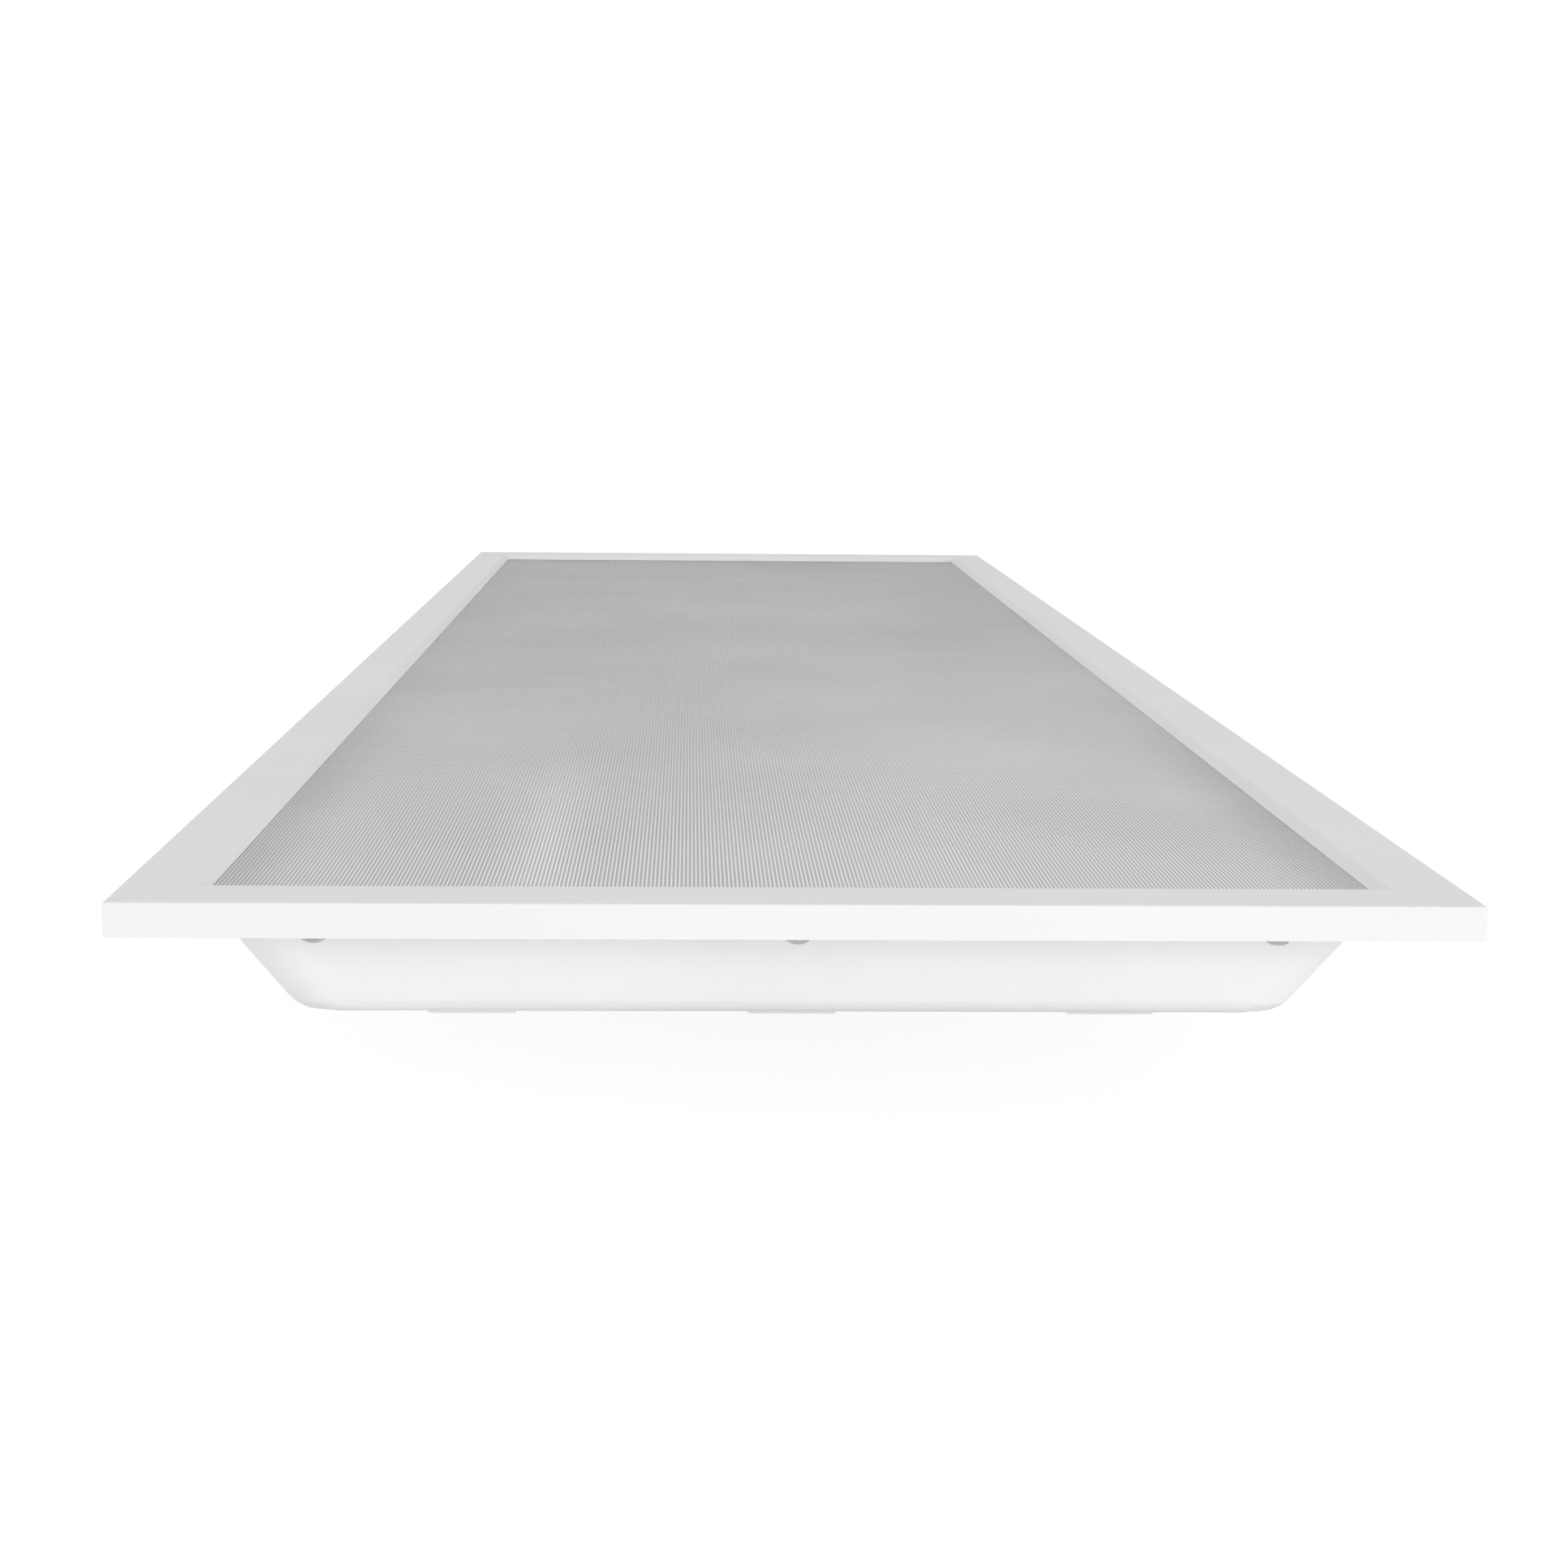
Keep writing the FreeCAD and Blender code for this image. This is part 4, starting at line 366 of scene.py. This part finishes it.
lensLook = {
    "low": "#BABABA", "high": "#CACACA",      # clouds in the milky grey of the ridges' flanks
    "cloud": 130 * mm, "cloudStretch": (1.0, 0.45, 1.0), "cloudDetail": 1.5,
    "crest": "#F8F8F8",                       # painted highlight along the ridges' tops
    "crestUpward": 0.95,                      # how squarely a face must point up to be a top
    "highlightFade": (-0.57, -0.2), "highlightLeft": 0.1,      # the painted highlight fades further back, where the tops are too fine to draw in full
    # painted shade: the sheet is painted darker towards the back end: place along it, tone
    "shade": ((-0.58, 0.93), (-0.45, 0.89), (-0.3, 0.895), (0.0, 0.84), (0.3, 0.725), (0.55, 0.695)),
    # painted shade along the side rails, whose lips shade the sheet's borders
    "edge": 0.133, "edgeWide": 0.022, "railShadeDepth": 0.17, "edgeFade": (-0.42, -0.15),
    # painted reflections and painted shade in soft patches: place, half sizes, how much lighter or darker
    "paintedLightPatches": (((-0.060, -0.5), (0.018, 0.25), 0.2), ((0.075, -0.33), (0.055, 0.16), 0.12),
               ((-0.11, -0.33), (0.06, 0.1), -0.05), ((0.11, -0.42), (0.04, 0.09), 0.1)),
    "rowPitch": 1.9 * mm, "rowDeep": 0.05 * mm, "rowFade": (-0.45, -0.2),
    "glossPatch": 40 * mm, "roughness": (0.34, 0.44), "ior": 1.59, "specular": 0.09,
}


# Embossed polystyrene sheet: a cloudy milky grey with a painted highlight along the ridges' tops, painted
# shade towards the back end and along the side rails, painted reflections and shade in soft patches, and fine
# cross rows that only show close by
def embossedPolystyrene(look):
    material, tree = newMaterial("embossed polystyrene")
    point = objectPoint(tree)
    spot = addNode(tree, "ShaderNodeSeparateXYZ", links={"Vector": point}).outputs
    maths = partial(mathNode, tree)

    def ramp(source, start, end, low, high):
        return addNode(tree, "ShaderNodeMapRange", {
            "interpolation_type": "SMOOTHSTEP", "From Min": start, "From Max": end, "To Min": low,
            "To Max": high}, {"Value": source}).outputs[0]

    clouds = mottle(tree, objectPoint(tree, look["cloudStretch"]), look["cloud"], look["low"], look["high"],
                    look["cloudDetail"])
    # painted highlight: faces that point up are painted paler, less so further back
    facing = addNode(tree, "ShaderNodeNewGeometry").outputs["True Normal"]
    upward = addNode(tree, "ShaderNodeSeparateXYZ", links={"Vector": facing}).outputs["Z"]
    crest = maths("MULTIPLY", maths("GREATER_THAN", upward, look["crestUpward"]),
                  ramp(spot["Y"], *look["highlightFade"], 1.0, look["highlightLeft"]))
    colour = addNode(tree, "ShaderNodeMix", {"data_type": "RGBA", 7: hexColour(look["crest"])},
                     {0: crest, 6: clouds}).outputs[2]

    # painted shade, darker towards the back end
    start, end = look["shade"][0][0], look["shade"][-1][0]
    stops = [((place - start) / (end - start), (tone, tone, tone, 1)) for place, tone in look["shade"]]
    shade = rampThrough(tree, shareOf(tree, spot["Y"], start, end), stops)
    # painted shade along the side rails, fading towards the back end
    railShadeMask = ramp(maths("ABSOLUTE", spot["X"]), look["edge"] - look["edgeWide"], look["edge"], 0.0,
                  look["railShadeDepth"])
    railShadeMask = maths("MULTIPLY", railShadeMask, ramp(spot["Y"], *look["edgeFade"], 1.0, 0.0))
    shade = maths("MULTIPLY", shade, maths("SUBTRACT", 1.0, railShadeMask))
    # painted reflections and painted shade in soft patches
    light = 1.0
    for (x, y), (wide, long), gain in look["paintedLightPatches"]:
        near = addNode(tree, "ShaderNodeMapping", {
            "vector_type": "TEXTURE", "Location": (x, y, 0), "Scale": (wide, long, 1)},
            {"Vector": point}).outputs[0]
        soft = addNode(tree, "ShaderNodeTexGradient", {"gradient_type": "QUADRATIC_SPHERE"}, {"Vector": near})
        light = maths("MULTIPLY_ADD", soft.outputs["Fac"], gain, light)
    shade = maths("MULTIPLY", shade, light)
    colour = addNode(tree, "ShaderNodeVectorMath", {"operation": "SCALE"},
                     {0: colour, "Scale": shade}).outputs[0]

    row = maths("DIVIDE", maths("PINGPONG", spot["Y"], look["rowPitch"] / 2), look["rowPitch"] / 2)
    rows = maths("MULTIPLY", row, ramp(spot["Y"], *look["rowFade"], 1.0, 0.0))
    gloss = varied(tree, noiseHeight(tree, point, look["glossPatch"]), *look["roughness"])
    finishSurface(tree, {"IOR": look["ior"], "Specular IOR Level": look["specular"]}, {
        "Base Color": colour, "Roughness": gloss, "Normal": bumpFrom(tree, rows, look["rowDeep"])})
    return material


chokeCentre = [(a + b) / 2 for a, b in zip(*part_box("driver_choke"))]

# The material of each material slot in the record
slotMaterials = {
    "white_frame_paint": materials["powder-coated aluminium"],
    "white_sheet_paint": materials["powder-coated sheet steel"],
    "prismatic_polystyrene": embossedPolystyrene(lensLook),
    "zinc_steel": materials["zinc-plated steel"],
    "galvanised_spring_steel": galvanisedSteel(galvanisedLook),
    "cast_zinc": materials["die-cast zinc"],
    "aluminium_rivet": materials["drawn aluminium"],
    "foam_gasket": materials["closed-cell PVC foam"],
    "white_film": materials["white PET reflector film"],
    "board_solder_mask": whiteSolderMask(solderMaskLook),
    "phosphor": materials["phosphor silicone"],
    "clear_cap": clearAcrylic(acrylicLook),
    "white_nylon": materials["moulded nylon"],
    "lead_pvc": materials["black PVC insulation"],
    "earth_pvc": greenYellowInsulation(earthLook),
    "black_plastic": materials["black moulded nylon"],
    "black_rubber": materials["EPDM rubber"],
    "driver_case_plastic": materials["textured polycarbonate"],
    "circuit_board": glassEpoxyBoard(boardLook),
    "transformer_core": materials["yellow polyester tape"],
    "capacitor_sleeve": materials["shrunk PET sleeve"],
    "choke_ferrite": enamelledWinding(windingLook, chokeCentre),
    "terminal_grey": materials["grey moulded polyamide"],
    "terminal_metal": materials["tinned brass"],
    "lever_orange": materials["orange moulded polyamide"],
}

for part in frame["record"]["subparts"]:
    mesh = nodes[part["node"]].data
    mesh.materials.clear()
    mesh.materials.append(slotMaterials[part["material_slot"]])


lens = {
    "ridgePitch": 0.955 * mm,   # a little too fine: the photograph measures 0.98 mm along the near edge
    "ridgeDeep": 0.22 * mm,
    "crestWidth": 0.26 * mm,
}
columnsPerRidge = 3      # valley, left crest edge, right crest edge


# A flat sheet whose face is pressed into ridges along its length
def ridgedSheetTree():
    tree = bpy.data.node_groups.new("ridged sheet", "GeometryNodeTree")
    face = tree.interface
    sizes = ("Sheet Width", "Sheet Length", "Sheet Thickness", "Ridge Pitch", "Ridge Depth", "Crest Width",
             "Front Level")
    sockets = {name: face.new_socket(name=name, in_out="INPUT", socket_type="NodeSocketFloat")
               for name in sizes}
    sockets["Finish"] = face.new_socket(name="Finish", in_out="INPUT", socket_type="NodeSocketMaterial")
    face.new_socket(name="Geometry", in_out="OUTPUT", socket_type="NodeSocketGeometry")
    given = addNode(tree, "NodeGroupInput").outputs
    maths = partial(mathNode, tree)

    ridges = maths("FLOOR", maths("DIVIDE", given["Sheet Width"], given["Ridge Pitch"]))
    columns = maths("MULTIPLY", ridges, columnsPerRidge)
    count = addNode(tree, "FunctionNodeFloatToInt", {"rounding_mode": "ROUND"},
                    {0: maths("ADD", columns, 1)}).outputs[0]
    size = addNode(tree, "ShaderNodeCombineXYZ", links={
        "X": given["Sheet Width"], "Y": given["Sheet Length"], "Z": given["Sheet Thickness"]}).outputs[0]
    slab = addNode(tree, "GeometryNodeMeshCube", {"Vertices Y": 2, "Vertices Z": 2},
                   {"Size": size, "Vertices X": count}).outputs["Mesh"]
    parts = addNode(tree, "ShaderNodeSeparateXYZ",
                    links={0: addNode(tree, "GeometryNodeInputPosition").outputs[0]}).outputs
    halfWidth = maths("DIVIDE", given["Sheet Width"], 2)
    share = maths("DIVIDE", maths("ADD", parts["X"], halfWidth), given["Sheet Width"])
    column = maths("ROUND", maths("MULTIPLY", share, columns))
    ridge = maths("FLOOR", maths("DIVIDE", maths("ADD", column, 0.5), columnsPerRidge))
    phase = maths("SUBTRACT", column, maths("MULTIPLY", ridge, columnsPerRidge))
    pitch = maths("DIVIDE", given["Sheet Width"], ridges)
    onCrest = maths("GREATER_THAN", phase, 0.5)
    side = maths("SUBTRACT", maths("MULTIPLY", phase, 2), 3)      # -1 left crest edge, +1 right
    crest = maths("ADD", maths("MULTIPLY", pitch, 0.5),
                  maths("MULTIPLY", maths("MULTIPLY", given["Crest Width"], 0.5), side))
    across = maths("ADD", maths("SUBTRACT", maths("MULTIPLY", ridge, pitch), halfWidth),
                   maths("MULTIPLY", crest, onCrest))
    inFront = maths("GREATER_THAN", parts["Z"], 0.0)
    inValley = maths("SUBTRACT", 1.0, onCrest)
    drop = maths("MULTIPLY", maths("MULTIPLY", inValley, given["Ridge Depth"]), inFront)
    lift = maths("SUBTRACT", given["Front Level"], maths("DIVIDE", given["Sheet Thickness"], 2))
    level = maths("ADD", maths("SUBTRACT", parts["Z"], drop), lift)
    spot = addNode(tree, "ShaderNodeCombineXYZ", links={
        "X": across, "Y": parts["Y"], "Z": level}).outputs[0]
    pressed = addNode(tree, "GeometryNodeSetPosition", links={"Geometry": slab, "Position": spot}).outputs[0]
    real = addNode(tree, "GeometryNodeRealizeInstances", links={"Geometry": pressed}).outputs[0]
    done = addNode(tree, "GeometryNodeSetMaterial", links={
        "Geometry": real, "Material": given["Finish"]}).outputs[0]
    addNode(tree, "NodeGroupOutput", links={"Geometry": done})
    return tree, {name: socket.identifier for name, socket in sockets.items()}


# Runs a tree on an empty mesh and keeps what it makes as a plain mesh
def madeByNodes(name, tree, identifiers, inputs):
    carrier = bpy.data.objects.new(name, bpy.data.meshes.new(name + " start"))
    bpy.context.collection.objects.link(carrier)
    modifier = carrier.modifiers.new("shape", "NODES")
    modifier.node_group = tree
    for label, setting in inputs.items():
        modifier[identifiers[label]] = setting
    made = bpy.data.meshes.new_from_object(carrier.evaluated_get(bpy.context.evaluated_depsgraph_get()))
    carrier.modifiers.remove(modifier)
    carrier.data = made
    made.name = name
    return carrier


low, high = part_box("prismatic_lens")
ridgedSheet, sheetInputs = ridgedSheetTree()
lensSheet = madeByNodes("embossed_lens", ridgedSheet, sheetInputs, {
    "Sheet Width": high[0] - low[0], "Sheet Length": high[1] - low[1], "Sheet Thickness": high[2] - low[2],
    "Ridge Pitch": lens["ridgePitch"], "Ridge Depth": lens["ridgeDeep"], "Crest Width": lens["crestWidth"],
    "Front Level": high[2], "Finish": slotMaterials["prismatic_polystyrene"]})
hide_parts("prismatic_lens")
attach(lensSheet, "panel")
print("lens with", len(lensSheet.data.polygons), "faces")


# Pale floor: plain white to the camera, with the panel's soft shadow on it
floorLook = {"half": 9.0, "colour": "#F4F4F4", "seenColour": "#707070", "seenGlow": 0.9, "drop": 0.3 * mm}


# 1 for rays that show a thing itself: to the camera, mirrored or through clear plastic. 0 for the rest
def seenDirectly(tree):
    rays = addNode(tree, "ShaderNodeLightPath").outputs
    both = mathNode(tree, "ADD", rays["Is Camera Ray"], rays["Is Glossy Ray"])
    return addNode(tree, "ShaderNodeMath", {"operation": "ADD", "use_clamp": True},
                   {0: both, 1: rays["Is Transmission Ray"]}).outputs[0]


def makeFloor(look):
    half = look["half"]
    mesh = bpy.data.meshes.new("floor")
    outline = ((-half, -half), (half, -half), (half, half), (-half, half))
    mesh.from_pydata([(x, y, -look["drop"]) for x, y in outline], [], [(0, 1, 2, 3)])
    floor = bpy.data.objects.new("floor", mesh)
    bpy.context.collection.objects.link(floor)
    material, tree = newMaterial("pale floor")
    plain = addNode(tree, "ShaderNodeBsdfDiffuse", {"Color": hexColour(look["colour"])}).outputs[0]
    shaded = addNode(tree, "ShaderNodeBsdfDiffuse", {"Color": hexColour(look["seenColour"])}).outputs[0]
    glow = addNode(tree, "ShaderNodeEmission", {"Strength": look["seenGlow"]}).outputs[0]
    seen = addNode(tree, "ShaderNodeAddShader", links={0: shaded, 1: glow}).outputs[0]
    mixed = addNode(tree, "ShaderNodeMixShader", links={0: seenDirectly(tree), 1: plain, 2: seen}).outputs[0]
    addNode(tree, "ShaderNodeOutputMaterial", links={"Surface": mixed})
    mesh.materials.append(material)


makeFloor(floorLook)


# White all round: a little dimmer as a light on the panel than as what the camera sees
worldLook = {"ambient": 0.74, "backdrop": 1.0}
world = bpy.data.worlds.new("studio")
bpy.context.scene.world = world
world.use_nodes = True
world.node_tree.nodes.clear()
surround = addNode(world.node_tree, "ShaderNodeMapRange",
                   {"To Min": worldLook["ambient"], "To Max": worldLook["backdrop"]},
                   {"Value": seenDirectly(world.node_tree)}).outputs[0]
sky = addNode(world.node_tree, "ShaderNodeBackground", {"Color": (1, 1, 1, 1)}, {"Strength": surround})
addNode(world.node_tree, "ShaderNodeOutputWorld", links={"Surface": sky.outputs[0]})


# Soft boxes: size in metres, where each stands, where it points, and its power in watts
lamps = {
    "front soft box": {"size": (2.6, 1.0), "at": (0.9, -2.9, 0.6), "to": (0, -0.5, 0.04), "watts": 36},
    "left soft box": {"size": (2.4, 0.8), "at": (-2.8, -0.2, 0.7), "to": (0, 0, 0.05), "watts": 18},
    "right soft box": {"size": (2.4, 0.8), "at": (2.8, -0.2, 0.7), "to": (0, 0, 0.05), "watts": 7},
}


def makeLamp(name, look):
    data = bpy.data.lights.new(name, "AREA")
    data.shape = "RECTANGLE"
    data.size, data.size_y = look["size"]
    data.energy = look["watts"]
    lamp = bpy.data.objects.new(name, data)
    bpy.context.collection.objects.link(lamp)
    lamp.location = look["at"]
    lamp.rotation_euler = (Vector(look["to"]) - Vector(look["at"])).to_track_quat("-Z", "Y").to_euler()


for lampName, lampLook in lamps.items():
    makeLamp(lampName, lampLook)


# Camera fitted to eight points in the photograph: the face's corners, the lower corners of the near
# edge and the lens's far corners. Metres, degrees, and millimetres for lens and sensor
camera = {
    "at": (-0.02425, -1.26522, 0.17982), "yaw": -1.79, "pitch": -7.872, "roll": 0.503,
    "lens": 70.59, "sensor": 36.0, "clip": (0.01, 60.0),
}


def makeCamera(look):
    data = bpy.data.cameras.new("camera")
    data.lens, data.sensor_width = look["lens"], look["sensor"]
    data.clip_start, data.clip_end = look["clip"]
    seat = bpy.data.objects.new("camera", data)
    bpy.context.collection.objects.link(seat)
    seat.location = look["at"]
    turn = Euler((math.radians(90 + look["pitch"]), 0, math.radians(look["yaw"]))).to_matrix()
    seat.rotation_euler = (turn @ Euler((0, 0, math.radians(look["roll"]))).to_matrix()).to_euler()
    bpy.context.scene.camera = seat


makeCamera(camera)
bpy.context.scene.view_settings.view_transform = "Standard"
print("floor, lamps and camera in place")
